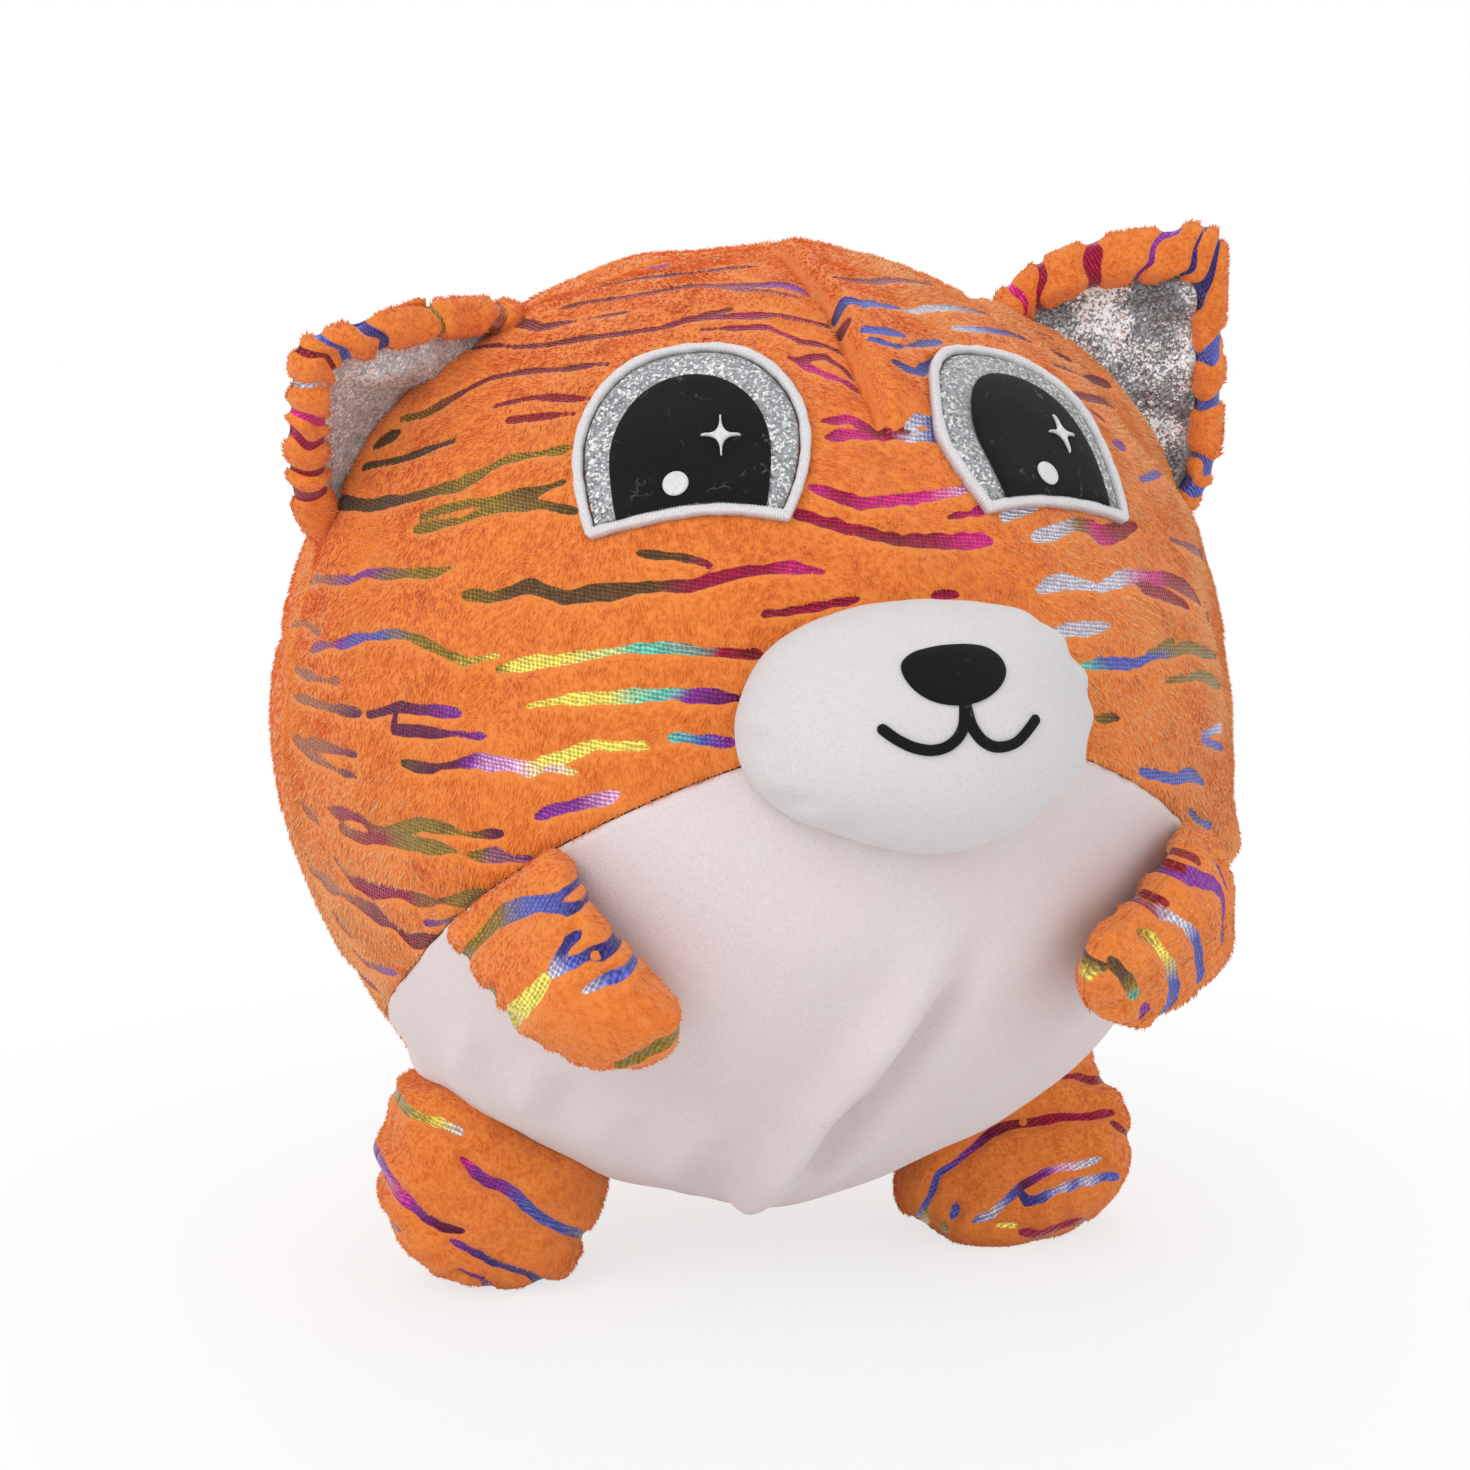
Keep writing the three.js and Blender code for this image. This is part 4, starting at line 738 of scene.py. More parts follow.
class Form:
    """A closed surface of loops: each is joined to the next, the ends are fanned shut or joined round."""

    def __init__(self, loops, ring=False):
        count, length = loops.shape[:2]
        self.points = loops.reshape(-1, 3)
        i, j = np.meshgrid(np.arange(count if ring else count - 1), np.arange(length), indexing="ij")
        here, there, after = i * length, (i + 1) % count * length, (j + 1) % length
        self.quads = np.stack([here + j, there + j, there + after, here + after], axis=-1).reshape(-1, 4)
        self.place = np.stack([i, j], axis=-1).reshape(-1, 2)
        self.tris = np.zeros((0, 3), int)
        if not ring:
            j = np.arange(length)
            k, last = (j + 1) % length, (count - 1) * length
            tops = np.full(length, count * length)
            self.tris = np.vstack([np.stack([tops, j, k], 1), np.stack([tops + 1, last + k, last + j], 1)])
            self.points = np.vstack([self.points, loops[[0, -1]].mean(axis=1)])
        a, b, c = (self.points[self.corners()[:, n]] for n in range(3))
        if (a * np.cross(b, c)).sum() < 0:
            self.quads, self.tris = self.quads[:, ::-1], self.tris[:, ::-1]

    @classmethod
    def of(cls, points, quads, tris):
        """A form from its own points and faces."""
        made = cls.__new__(cls)
        made.points, made.quads, made.tris = points, quads, tris
        return made

    @classmethod
    def joined(cls, forms):
        """Several forms as one."""
        starts = np.cumsum([0] + [len(form.points) for form in forms])
        quads = np.vstack([form.quads + n for form, n in zip(forms, starts)])
        tris = np.vstack([form.tris + n for form, n in zip(forms, starts)])
        return cls.of(np.vstack([form.points for form in forms]), quads, tris)

    def corners(self):
        """All faces as triangles."""
        return np.vstack([self.quads[:, [0, 1, 2]], self.quads[:, [0, 2, 3]], self.tris])

    def normals(self):
        """Unit normals at the points: the sum of the areas of the faces that meet there."""
        total = np.zeros_like(self.points)
        corners = self.corners()
        a, b, c = (self.points[corners[:, n]] for n in range(3))
        area = np.cross(b - a, c - a)
        for n in range(3):
            for k in range(3):
                total[:, k] += np.bincount(corners[:, n], area[:, k], len(total))
        return unit_of(total)


def piece(name, form, looks, slot, stands_for=(), body="toy", bend=None, fill=None, striped=None,
          smooth_faces=True):
    """Puts a form into a mesh object in the row frame with its stripes and finishes, hides the parts it
    stands for, and parents it to its body unless given a bend.
    """
    mesh = bpy.data.meshes.new(name)
    quads, tris = len(form.quads), len(form.tris)
    mesh.vertices.add(len(form.points))
    mesh.vertices.foreach_set("co", ((form.points + BALL_MIDDLE) * MM).astype(np.float32).ravel())
    mesh.loops.add(4 * quads + 3 * tris)
    used = np.concatenate([form.quads.ravel(), form.tris.ravel()])
    mesh.loops.foreach_set("vertex_index", used.astype(np.int32))
    mesh.polygons.add(quads + tris)
    starts = np.concatenate([np.arange(quads) * 4, 4 * quads + np.arange(tris) * 3])
    mesh.polygons.foreach_set("loop_start", starts.astype(np.int32))
    mesh.polygons.foreach_set("use_smooth", np.full(quads + tris, smooth_faces))
    if striped:
        depth, foil, knit = (held.astype(np.float32) for held in striped)
        tints = np.pad(foil, ((0, 0), (0, 1)), constant_values=1)
        mesh.attributes.new("stripe", "FLOAT", "POINT").data.foreach_set("value", depth)
        mesh.attributes.new("foil", "FLOAT_COLOR", "POINT").data.foreach_set("color", tints.ravel())
        mesh.attributes.new("knit", "FLOAT_VECTOR", "POINT").data.foreach_set("vector", knit.ravel())
    mesh.update(calc_edges=True)
    mesh.validate()
    for look in looks:
        mesh.materials.append(look.material)
    made = bpy.data.objects.new(name, mesh)
    bpy.context.scene.collection.objects.link(made)
    if bend:
        tuple(bend[0])
        tuple(bend[1])
        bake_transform(made)
    else:
        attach(made, body)
    if stands_for:
        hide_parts(*stands_for)
    return made


def linear(colour):
    """sRGB brought to linear light."""
    c = np.asarray(colour, float)
    return np.where(c <= 0.04045, c / 12.92, ((c + 0.055) / 1.055) ** 2.4)


def plain_foil(count):
    """The foil's colour where no stripe lies."""
    return np.tile(linear(FOILS["wine"]), (count, 1))


def stripe_field(points, stripes, wobble):
    """Depth inside the nearest stripe, half its tapering width less the distance to it, and its foil."""
    slow, fine = wobble
    depth, foil = np.full(len(points), FAR_OUTSIDE), plain_foil(len(points))
    for width, names, path in stripes:
        middle, reach = path.mean(axis=0), np.ptp(path, axis=0).max() + STRIPE_REACH
        near = np.nonzero(np.abs(points - middle).max(axis=1) < reach)[0]
        if len(near) == 0:
            continue
        apart, along = line_distance(points[near], path)
        taper = np.clip(1 - np.abs(2 * along - 1) ** STRIPE_TAPER, 0, 1) ** 0.5
        half = width * (STRIPE_END_HALF + STRIPE_MIDDLE_HALF * taper) * (1 + STRIPE_WAVER * slow[near])
        inner = half - apart + STRIPE_FRAY * fine[near]
        tints = np.array([linear(FOILS[name]) for name in names.split()])
        steps, at = np.linspace(0, 1, len(tints)), along + FOIL_DRIFT * slow[near]
        drifting = np.stack([np.interp(at, steps, tints[:, k]) for k in range(3)], axis=1)
        better = inner > depth[near]
        depth[near[better]] = inner[better]
        foil[near[better]] = drifting[better]
    return depth, foil


def strewn_stripes(seed, azimuths, elevations, avoid):
    """Stripes for the sides that the traced ones don't reach: wavy level strokes in rows, clear of those."""
    rng = np.random.default_rng(seed)
    made = []
    turn = np.linspace(0, 1, STREWN_STEPS)
    for elevation in np.arange(*elevations, STREWN_ROW):
        azimuth = azimuths[0] + rng.uniform(0, STREWN_START)
        around = np.radians(1) * BALL_RADIUS * max(np.cos(np.radians(elevation)), STREWN_NARROWEST)
        while azimuth < azimuths[1]:
            span = rng.uniform(*STREWN_LENGTH) / around
            wave = STREWN_WAVE * np.sin(turn * rng.uniform(*STREWN_WAVES) + rng.uniform(0, STREWN_PHASE))
            wave = wave + rng.uniform(-STREWN_TILT, STREWN_TILT) * (turn - 0.5)
            rise = elevation + rng.uniform(-STREWN_ASIDE, STREWN_ASIDE) + wave
            at = unit_at(azimuth + span * turn, rise) * BALL_RADIUS
            swing = np.sin(np.radians(azimuth * DRIFT_ROUND + elevation * DRIFT_UP))
            drift = 2 + 2 * swing + rng.uniform(0, DRIFT_SCATTER)
            names = STREWN_FOILS[int(drift) % 4][rng.integers(3)]
            clear = np.linalg.norm(avoid[:, None] - at[None], axis=-1).min() > STREWN_CLEAR
            if clear and azimuth + span < azimuths[1] + STREWN_OVERRUN:
                made.append((rng.uniform(*STREWN_WIDTH), names, at))
                if rng.uniform() < FORK_SHARE:
                    apart = np.linspace(0, rng.choice([-FORK_RISE, FORK_RISE]), 3)[:, None]
                    fork = unit_of(at[2:5] + np.array([0, 0, 1]) * apart) * BALL_RADIUS
                    made.append((rng.uniform(*FORK_WIDTH), names, fork))
            azimuth += span + rng.uniform(*STREWN_GAP) / around
    return made


def painted_sheen_share(points):
    """Share of paler tufts, painted sheen standing in for grazing light on the pile: most at the right side
    and low on the left, fading out round the back.
    """
    azimuth, elevation = bearing(unit_of(points))
    right = smooth(azimuth, *PAINTED_SHEEN_RIGHT) * smooth(elevation, *PAINTED_SHEEN_RIGHT_RISE)
    left = smooth(-azimuth, *PAINTED_SHEEN_LEFT) * (1 - smooth(elevation, *PAINTED_SHEEN_LEFT_RISE))
    return PAINTED_SHEEN_SHARE * (right + left) * (1 - smooth(np.abs(azimuth), *PAINTED_SHEEN_BACK))


def plant_pile(name, form, carries, bare, nap, body, bend, density, length, seed, paints_sheen=False):
    """Tufts of pile: thin blades of four faces, at seeded points of a form, leaning with the nap."""
    rng = np.random.default_rng(seed)
    quads = form.quads[carries]
    a, b, c, d = (form.points[quads[:, n]] for n in range(4))
    area = np.linalg.norm(np.cross(c - a, d - b), axis=1) / 2
    count = int(area.sum() * density)
    chosen = quads[np.searchsorted(np.cumsum(area), rng.uniform(0, area.sum(), count))]
    u, v = rng.uniform(size=(2, count, 1))

    def spread(held):
        """Values held at a form's points, mixed at places inside its faces."""
        p, q, r, s = (held[chosen[:, n]] for n in range(4))
        return (p * (1 - u) + q * u) * (1 - v) + (s * (1 - u) + r * u) * v

    roots, out = spread(form.points), unit_of(spread(form.normals()))
    edge = spread(bare[:, None])[:, 0]
    kept = edge < -BARE_EDGE - BARE_SCATTER * rng.uniform(size=count)
    roots, out, edge = roots[kept], out[kept], edge[kept]
    count = len(roots)
    swirl = np.stack([unevenness(roots, TUFT_SWIRL_WAVE, seed + k) for k in range(3)], axis=1)
    lie = nap(roots) + TUFT_SWIRL * swirl + TUFT_SCATTER * rng.normal(size=(count, 3))
    lie = unit_of(lie - out * (lie * out).sum(1, keepdims=True))
    drift = TUFT_LEAN_DRIFT * unevenness(roots, TUFT_LEAN_WAVE, seed + 7)
    lean = rng.normal(TUFT_LEAN, TUFT_LEAN_SPREAD, count) + drift
    lean = np.radians(np.clip(lean, *TUFT_LEAN_LIMITS))[:, None]
    uneven = 1 + TUFT_UNEVEN * unevenness(roots, TUFT_UNEVEN_WAVE, seed + 9)
    long = length * rng.uniform(*TUFT_SPREAD, count) * uneven
    long = (long * (SHORN_SHARE + (1 - SHORN_SHARE) * smooth(-edge, 0.0, SHORN_REACH)))[:, None]
    way = out * np.cos(lean) + lie * np.sin(lean)
    side = np.cross(out, lie)
    roll = rng.normal(0, TUFT_ROLL, count)[:, None]
    flat = np.cos(roll) * side + np.sin(roll) * np.cross(way, side)
    half = rng.uniform(*TUFT_HALF_WIDTH, count)[:, None] * flat
    foot = roots - TUFT_SUNK * out
    points = np.stack([foot + half, foot - half, roots - TUFT_HEEL * out, roots + way * long], axis=1)
    points[..., 2] = np.maximum(points[..., 2], FLOOR + FLOOR_GAP)
    drift = DYE_DRIFT * unevenness(roots, DYE_WAVE, seed + 11)
    dye_and_sheen_lot = np.digitize(rng.uniform(size=count) + drift, DYE_STEPS)
    # Paler tufts of painted sheen replace the dye lots by position, where grazing light pales the pile
    if paints_sheen:
        dye_and_sheen_lot[rng.uniform(size=count) < painted_sheen_share(roots)] = PAINTED_SHEEN_LOT
    blade = np.array([[0, 1, 3], [0, 3, 2], [1, 2, 3], [0, 2, 1]])
    for n, part in enumerate(np.array_split(np.arange(count), count // TUFTS_TO_A_PIECE + 1)):
        tris = (np.arange(len(part))[:, None, None] * 4 + blade).reshape(-1, 3)
        tufts = Form.of(points[part].reshape(-1, 3), np.zeros((0, 4), int), tris)
        made = piece(f"{name}_{n + 1}", tufts, PILE_DYES_AND_SHEEN, "orange_plush", body=body, bend=bend,
                     smooth_faces=False)
        made.data.polygons.foreach_set("material_index", np.repeat(dye_and_sheen_lot[part], 4).astype(np.int32))


class Wire:
    """A socket of a finish's node tree; maths on it adds Math nodes."""

    def __init__(self, look, socket):
        self.look, self.socket = look, socket

    def maths(self, operation, a, b):
        """A Math node on two values."""
        return self.look.node("ShaderNodeMath", {"operation": operation}, {0: a, 1: b})

    def __add__(self, other):
        return self.maths("ADD", self, other)

    def __radd__(self, other):
        return self.maths("ADD", other, self)

    def __sub__(self, other):
        return self.maths("SUBTRACT", self, other)

    def __rsub__(self, other):
        return self.maths("SUBTRACT", other, self)

    def __mul__(self, other):
        return self.maths("MULTIPLY", self, other)

    def __rmul__(self, other):
        return self.maths("MULTIPLY", other, self)

    def wave(self):
        """The value's sine."""
        return self.maths("SINE", self, 0.0)

    def size(self):
        """The value without its sign."""
        return self.maths("ABSOLUTE", self, 0.0)


class Look:
    """A finish: a material, or the world, and the nodes that make it."""

    def __init__(self, name, owner=None):
        self.material = owner or bpy.data.materials.new(name)
        self.material.use_nodes = True
        self.tree = self.material.node_tree
        self.tree.nodes.clear()

    def node(self, kind, settings=None, sockets=None, output=0):
        """Adds a node: its settings first, then the values or links of its sockets."""
        node = self.tree.nodes.new(kind)
        for key, value in (settings or {}).items():
            if key == "stops":
                for n, (at, colour) in enumerate(value):
                    stop = node.color_ramp.elements[n] if n < 2 else node.color_ramp.elements.new(at)
                    stop.position, stop.color = at, (*colour, 1)
            else:
                setattr(node, key, value)
        for key, value in (sockets or {}).items():
            if isinstance(value, Wire):
                self.tree.links.new(value.socket, node.inputs[key])
            else:
                node.inputs[key].default_value = value
        return Wire(self, node.outputs[output]) if node.outputs else None

    def where(self):
        """The piece's own coordinates."""
        return self.node("ShaderNodeTexCoord", output="Object")

    def held(self, name, output):
        """An attribute of the piece."""
        return self.node("ShaderNodeAttribute", {"attribute_name": name}, output=output)

    def noise(self, size, detail):
        """Noise of about a size in millimetres."""
        sockets = {"Vector": self.where(), "Scale": 1 / (size * MM), "Detail": detail}
        return self.node("ShaderNodeTexNoise", {}, sockets)

    def cells(self, size):
        """Cells of about a size in millimetres, each of its own random colour."""
        sockets = {"Vector": self.where(), "Scale": 1 / (size * MM)}
        return self.node("ShaderNodeTexVoronoi", {}, sockets, "Color")

    def ramp(self, value, low, high, to_low=0.0, to_high=1.0):
        """A value carried from one range to another and held at its ends."""
        ends = {"From Min": low, "From Max": high, "To Min": to_low, "To Max": to_high}
        return self.node("ShaderNodeMapRange", {}, {"Value": value, **ends})

    def mix(self, share, a, b):
        """Two colours mixed by a share."""
        return self.node("ShaderNodeMix", {"data_type": "RGBA"}, {0: share, 6: a, 7: b}, 2)

    def vectors(self, operation, a, b=None, output=0):
        """Vector maths on one or two vectors."""
        sockets = {0: a} if b is None else {0: a, 1: b}
        return self.node("ShaderNodeVectorMath", {"operation": operation}, sockets, output)

    def bump(self, height, distance, strength):
        """A normal from a height, in millimetres of relief."""
        sockets = {"Height": height, "Distance": distance * MM, "Strength": strength}
        return self.node("ShaderNodeBump", {}, sockets)

    def looked_at(self):
        """1 for the camera's rays, straight, mirrored or passed on, and 0 for the light's."""
        rays = [self.node("ShaderNodeLightPath", output=f"Is {way} Ray") for way in VIEW_RAYS]
        return self.ramp(rays[0] + rays[1] + rays[2], 0, 1)

    def surface(self, **sockets):
        """Ends the finish in a Principled shader."""
        names = {key.replace("_", " "): value for key, value in sockets.items()}
        shader = self.node("ShaderNodeBsdfPrincipled", {}, {"Specular IOR Level": CLOTH_SPECULAR, **names})
        self.node("ShaderNodeOutputMaterial", {}, {"Surface": shader})
        return self


def tint(*srgb):
    """A colour socket's value from sRGB."""
    return (*linear(srgb), 1.0)


def plush_finish():
    """Orange plush ground with foil stripes, whose foil shows the knit's courses and wales under it, in its
    bump and as painted glints and shade in its colour.
    """
    look = Look("orange_plush_with_foil_stripes")
    depth = look.held("stripe", "Fac")
    foil = look.held("foil", "Color")
    lie = look.held("knit", "Vector")
    along = look.node("ShaderNodeSeparateXYZ", {}, {0: lie}, "X")
    upward = look.node("ShaderNodeSeparateXYZ", {}, {0: lie}, "Y")
    mask = look.ramp(depth, -FOIL_EDGE, FOIL_EDGE)
    fibre = look.noise(0.9, 3.0)
    cloud = look.noise(14.0, 2.0)
    ground = look.mix(look.ramp(fibre, 0.3, 0.7), tint(*ORANGE_DARK), tint(*ORANGE_LIGHT))
    ground = look.mix(look.ramp(cloud, 0.35, 0.65) * 0.6, ground, tint(*ORANGE_CLOUD))
    sway = look.noise(2.4, 3.0) * KNIT_SWAY
    course = (upward * (2 * np.pi / COURSE_PITCH) + along * COURSE_SLANT + sway).wave()
    wale = (along * (2 * np.pi / WALE_PITCH) + course * WALE_BEND + sway).wave()
    # Foil brighter and darker in patches of about 1.3 mm, times painted glints and shade along the knit's
    # courses and wales
    patchy_brightness = look.ramp(look.noise(1.3, 3.0), 0.35, 0.65, 0.78, 1.18)
    knit_glint = patchy_brightness * (KNIT_GLINT_PLAIN + KNIT_GLINT_COURSE * course + KNIT_GLINT_WALE * wale)
    shine = look.node("ShaderNodeVectorMath", {"operation": "SCALE"}, {0: foil, "Scale": knit_glint})
    rough = look.ramp(mask, 0, 1, PLUSH_ROUGH, FOIL_ROUGH)
    ridges = RIDGE_PLAIN + RIDGE_COURSE * course + RIDGE_WALE * wale
    normal = look.bump(mask * ridges + (1 - mask) * fibre, 0.45, 0.8)
    return look.surface(Base_Color=look.mix(mask, ground, shine), Roughness=rough, Normal=normal,
                        Metallic=mask * FOIL_METAL, Sheen_Weight=0.25, Sheen_Roughness=0.5)


def pile_finish(name, *srgb):
    """Fibres of one dye lot of the pile, or of its pale lot of painted sheen."""
    return Look(name).surface(Base_Color=tint(*srgb), Roughness=0.9, Sheen_Weight=1.0, Sheen_Roughness=0.35,
                              Sheen_Tint=tint(*PILE_SHEEN))


def white_finish(name, low, high, mottle):
    """Short shorn white plush with fine nap, mottled a little."""
    look = Look(name)
    nap = look.noise(0.55, 3.0)
    cloud = look.noise(20.0, 2.0)
    base = look.mix(look.ramp(nap, 0.25, 0.75), tint(*low), tint(*high))
    base = look.mix(look.ramp(cloud, 0.35, 0.7) * 0.5, base, tint(*mottle))
    return look.surface(Base_Color=base, Roughness=0.9, Normal=look.bump(nap, 0.25, 0.6), Sheen_Weight=0.3,
                        Sheen_Roughness=0.5)


def glitter_finish(name, size, dim, mid, bright, crumple):
    """Silver glitter cloth: flakes of random brightness and lie, the brightest painted white as painted
    glints, in broad patches of painted light and shade that stand in for crumples catching light or not.
    """
    look = Look(name)
    flake = look.cells(size)
    own = look.node("ShaderNodeSeparateColor", {}, {0: flake})
    fine = look.noise(0.35, 2.0)
    # Broad patches of painted light and shade, as crumpled cloth catches light or not; crumple sets their
    # strength
    painted_crumple_light = look.ramp(look.noise(15.0, 2.5), 0.36, 0.64)
    glint = look.ramp(own + (painted_crumple_light - 0.5) * 0.5 * crumple, 0.0, 1.0)
    # The brightest stops, up to white, are painted glints on the flakes
    stops = (
        (0.0, linear((dim, dim + 0.01, dim + 0.02))), (1.0, (1.0, 1.0, 1.0)),
        (0.5, linear((mid - 0.06, mid - 0.05, mid - 0.035))),
        (0.74, linear((mid + 0.05, mid + 0.055, mid + 0.065))), (0.84, linear((bright, bright, bright))),
    )
    grey = look.node("ShaderNodeValToRGB", {"stops": stops}, {"Fac": glint})
    base = look.mix(look.ramp(fine, 0.3, 0.7) * 0.2, grey, tint(dim - 0.04, dim - 0.04, dim - 0.02))
    swing = {0: flake, 1: (FLAKE_SWING,) * 3, 2: (-FLAKE_SWING / 2,) * 3}
    sway = look.node("ShaderNodeVectorMath", {"operation": "MULTIPLY_ADD"}, swing)
    lie = look.node("ShaderNodeNewGeometry", output="Normal")
    normal = look.vectors("NORMALIZE", look.vectors("ADD", sway, lie))
    return look.surface(Base_Color=base, Roughness=0.35, Metallic=0.15, Normal=normal)


def felt_finish():
    """Black felt with faint wisps of paler lint."""
    look = Look("black_felt")
    fuzz = look.noise(0.5, 4.0)
    wisp = 1 - look.ramp((look.noise(7.0, 3.0) - 0.5).size(), 0.0, 0.012)
    lint = wisp * look.ramp(look.noise(4.0, 2.0), 0.56, 0.66)
    base = look.mix(look.ramp(fuzz, 0.3, 0.7), tint(*FELT_DARK), tint(*FELT_LIGHT))
    base = look.mix(lint * 0.45, base, tint(*FELT_LINT))
    normal = look.bump(fuzz, 0.25, 0.7)
    return look.surface(Base_Color=base, Roughness=0.92, Normal=normal, Sheen_Weight=0.05)


def thread_finish():
    """White satin-stitch thread."""
    look = Look("white_thread")
    strand = look.noise(0.4, 2.0)
    base = look.mix(look.ramp(strand, 0.3, 0.7), tint(*THREAD_DARK), tint(*THREAD_LIGHT))
    normal = look.bump(strand, 0.12, 0.6)
    return look.surface(Base_Color=base, Roughness=0.6, Normal=normal, Sheen_Weight=0.2)


def stuffing_finish():
    """Loose white fibre filling."""
    look = Look("fibre_stuffing")
    wisp = look.noise(3.0, 5.0)
    base = look.mix(look.ramp(wisp, 0.3, 0.7), tint(*FIBRE_DARK), tint(*FIBRE_LIGHT))
    return look.surface(Base_Color=base, Roughness=1.0, Normal=look.bump(wisp, 1.5, 0.8))


# Finishes, each in a list because a piece may carry several
PLUSH = [plush_finish()]
# Pile finishes: three dye lots and a pale lot of painted sheen
PILE_DYES_AND_SHEEN = [
    pile_finish("pile_orange", 0.93, 0.535, 0.235), pile_finish("pile_orange_light", 0.945, 0.565, 0.26),
    pile_finish("pile_orange_deep", 0.915, 0.505, 0.21), pile_finish("pile_orange_painted_sheen", 0.93, 0.68, 0.45),
]
BELLY_WHITE = [
    white_finish("belly_white_plush", (0.87, 0.82, 0.82), (0.92, 0.88, 0.88), (0.89, 0.83, 0.83)),
]
# The muzzle's white is the belly's plush, less pink and painted darker as painted shade, offsetting the
# light its upturned top catches
MUZZLE_WHITE = [
    white_finish("muzzle_white_plush", (0.83, 0.815, 0.82), (0.885, 0.87, 0.875), (0.85, 0.835, 0.845)),
]
GLITTER = [glitter_finish("eye_glitter", 0.52, 0.50, 0.68, 0.99, 0.15)]
# One glitter cloth in the eyes and both ears: the left ear's copy is painted lighter against the shade it
# sits in, the right ear's gets stronger painted crumple shade
EAR_GLITTER = {
    "left": [glitter_finish("left_ear_glitter", 0.5, 0.66, 0.82, 1.0, 0.6)],
    "right": [glitter_finish("right_ear_glitter", 0.5, 0.41, 0.66, 1.0, 1.8)],
}
FELT = [felt_finish()]
THREAD = [thread_finish()]
FIBRE = [stuffing_finish()]


def between(a, b, share):
    """Points along the great circle from a to b: the two weighted by sines of the angles left and gone."""
    angle = np.arccos(np.clip((a * b).sum(-1, keepdims=True), -1, 1))
    return (a * np.sin((1 - share) * angle) + b * np.sin(share * angle)) / np.maximum(np.sin(angle), 1e-6)


def side_seam(turn):
    """The seam of front and back: a circle in an upright plane ahead of the middle, from -X over the top."""
    t = np.radians(turn)
    return np.stack([-SIDE_SEAM_ROUND * np.cos(t), np.full_like(t, -SIDE_SEAM_AHEAD),
                     SIDE_SEAM_ROUND * np.sin(t)], axis=-1)


def back_seam(turn):
    """The seam up the back: the circle in the mirror plane, from the top backwards."""
    t = np.radians(turn)
    return np.stack([np.zeros_like(t), np.sin(t), np.cos(t)], axis=-1)


def seam_line(azimuth):
    """The seam between face and belly."""
    return unit_at(azimuth, face_seam(azimuth))


def corner_azimuth():
    """Where the face's lower seam meets the side seam, by repeated substitution."""
    azimuth = CORNER_GUESS
    for _ in range(CORNER_PASSES):
        azimuth = np.degrees(np.arccos(SIDE_SEAM_AHEAD / np.cos(np.radians(face_seam(azimuth)))))
    return azimuth


def span(start, end, count):
    """Even steps from start to end, short of both by a little."""
    return np.linspace(start + SEAM_SHORT * (end - start), end - SEAM_SHORT * (end - start), count)


def crowded(start, end, count):
    """A span whose steps crowd together about its middle, where the forehead dart runs."""
    steps = np.linspace(-1, 1, count - 1)
    crowding = DART_CROWDING * bell(steps - DART_CROWDING_AT, DART_CROWDING_WIDTH)
    gone = np.concatenate([[0], np.cumsum(1 / (1 + crowding))])
    return start + (end - start) * (SEAM_SHORT + (1 - 2 * SEAM_SHORT) * gone / gone[-1])


def sewn_panel(low, high, rows, puckers):
    """A panel of the cover between two seams: great-circle rows, rolled in along both seams and puckered
    near the lower one, with a cloth's inside."""
    length = np.arccos(np.clip((low * high).sum(-1), -1, 1)) * BALL_RADIUS
    margin = np.minimum(SEAM_GAP / length, WIDEST_MARGIN)[:, None, None]
    share = margin + (1 - 2 * margin) * np.linspace(0, 1, rows)[None, :, None]
    units = between(low[:, None], high[:, None], share)
    apart = np.minimum(share, 1 - share)[..., 0] * length[:, None]
    gather = 1 + SEAM_GATHER * unevenness(units * BALL_RADIUS, SEAM_GATHER_WAVE, SEAM_SEED)
    roll = SEAM_ROLL * gather * np.maximum(0, 1 - apart / SEAM_ROLL_WIDTH) ** 2
    near_low = share[..., 0] * length[:, None]
    fade = np.maximum(0, 1 - near_low / BELLY_PUCKER_REACH) ** BELLY_PUCKER_FADE
    fade = fade * smooth(near_low, 0, BELLY_PUCKER_START)
    pucker = puckers * unevenness(units * BALL_RADIUS, BELLY_PUCKER_WAVE, PUCKER_SEED) * fade
    outer = on_cover(units, pucker - roll)
    lining = margin + (1 - 2 * margin) * np.linspace(1, 0, LINING_ROWS)[None, :, None]
    inner = between(low[:, None], high[:, None], lining) * LINING_RADIUS
    return Form(np.concatenate([outer, inner], axis=1))


def stripe_wobble(points):
    """Slow and fine unevenness of the stripes' edges."""
    return [unevenness(points, wave, seed) for wave, seed in zip(STRIPE_WAVES, STRIPE_SEEDS)]


def ball_paths(stripes):
    """Traced stripes carried onto the ball, with points added along each step."""
    made = []
    for width, names, path in stripes:
        azimuth, elevation = np.array(path, float).T
        at = np.arange(len(azimuth))
        fine = np.linspace(0, len(azimuth) - 1, 2 * len(azimuth) - 1)
        unit = unit_at(np.interp(fine, at, azimuth), np.interp(fine, at, elevation))
        made.append((width, names, unit * BALL_RADIUS))
    return made


def level_across(middle):
    """The level direction across a chart's middle, towards greater azimuths."""
    return unit_of(np.array([-middle[1], middle[0], 0.0]))


def eye_chart(side):
    """The eye's chart for one side: a direction from its own across and up, and back from a direction."""
    middle = unit_at(EYE_AZIMUTH, EYE_ELEVATION)
    at, back = ball_chart(middle, turned(level_across(middle), middle, EYE_TILT))
    return (lambda u, v: at(u, v) * MIRROR[side]), (lambda unit: back(unit * MIRROR[side]))


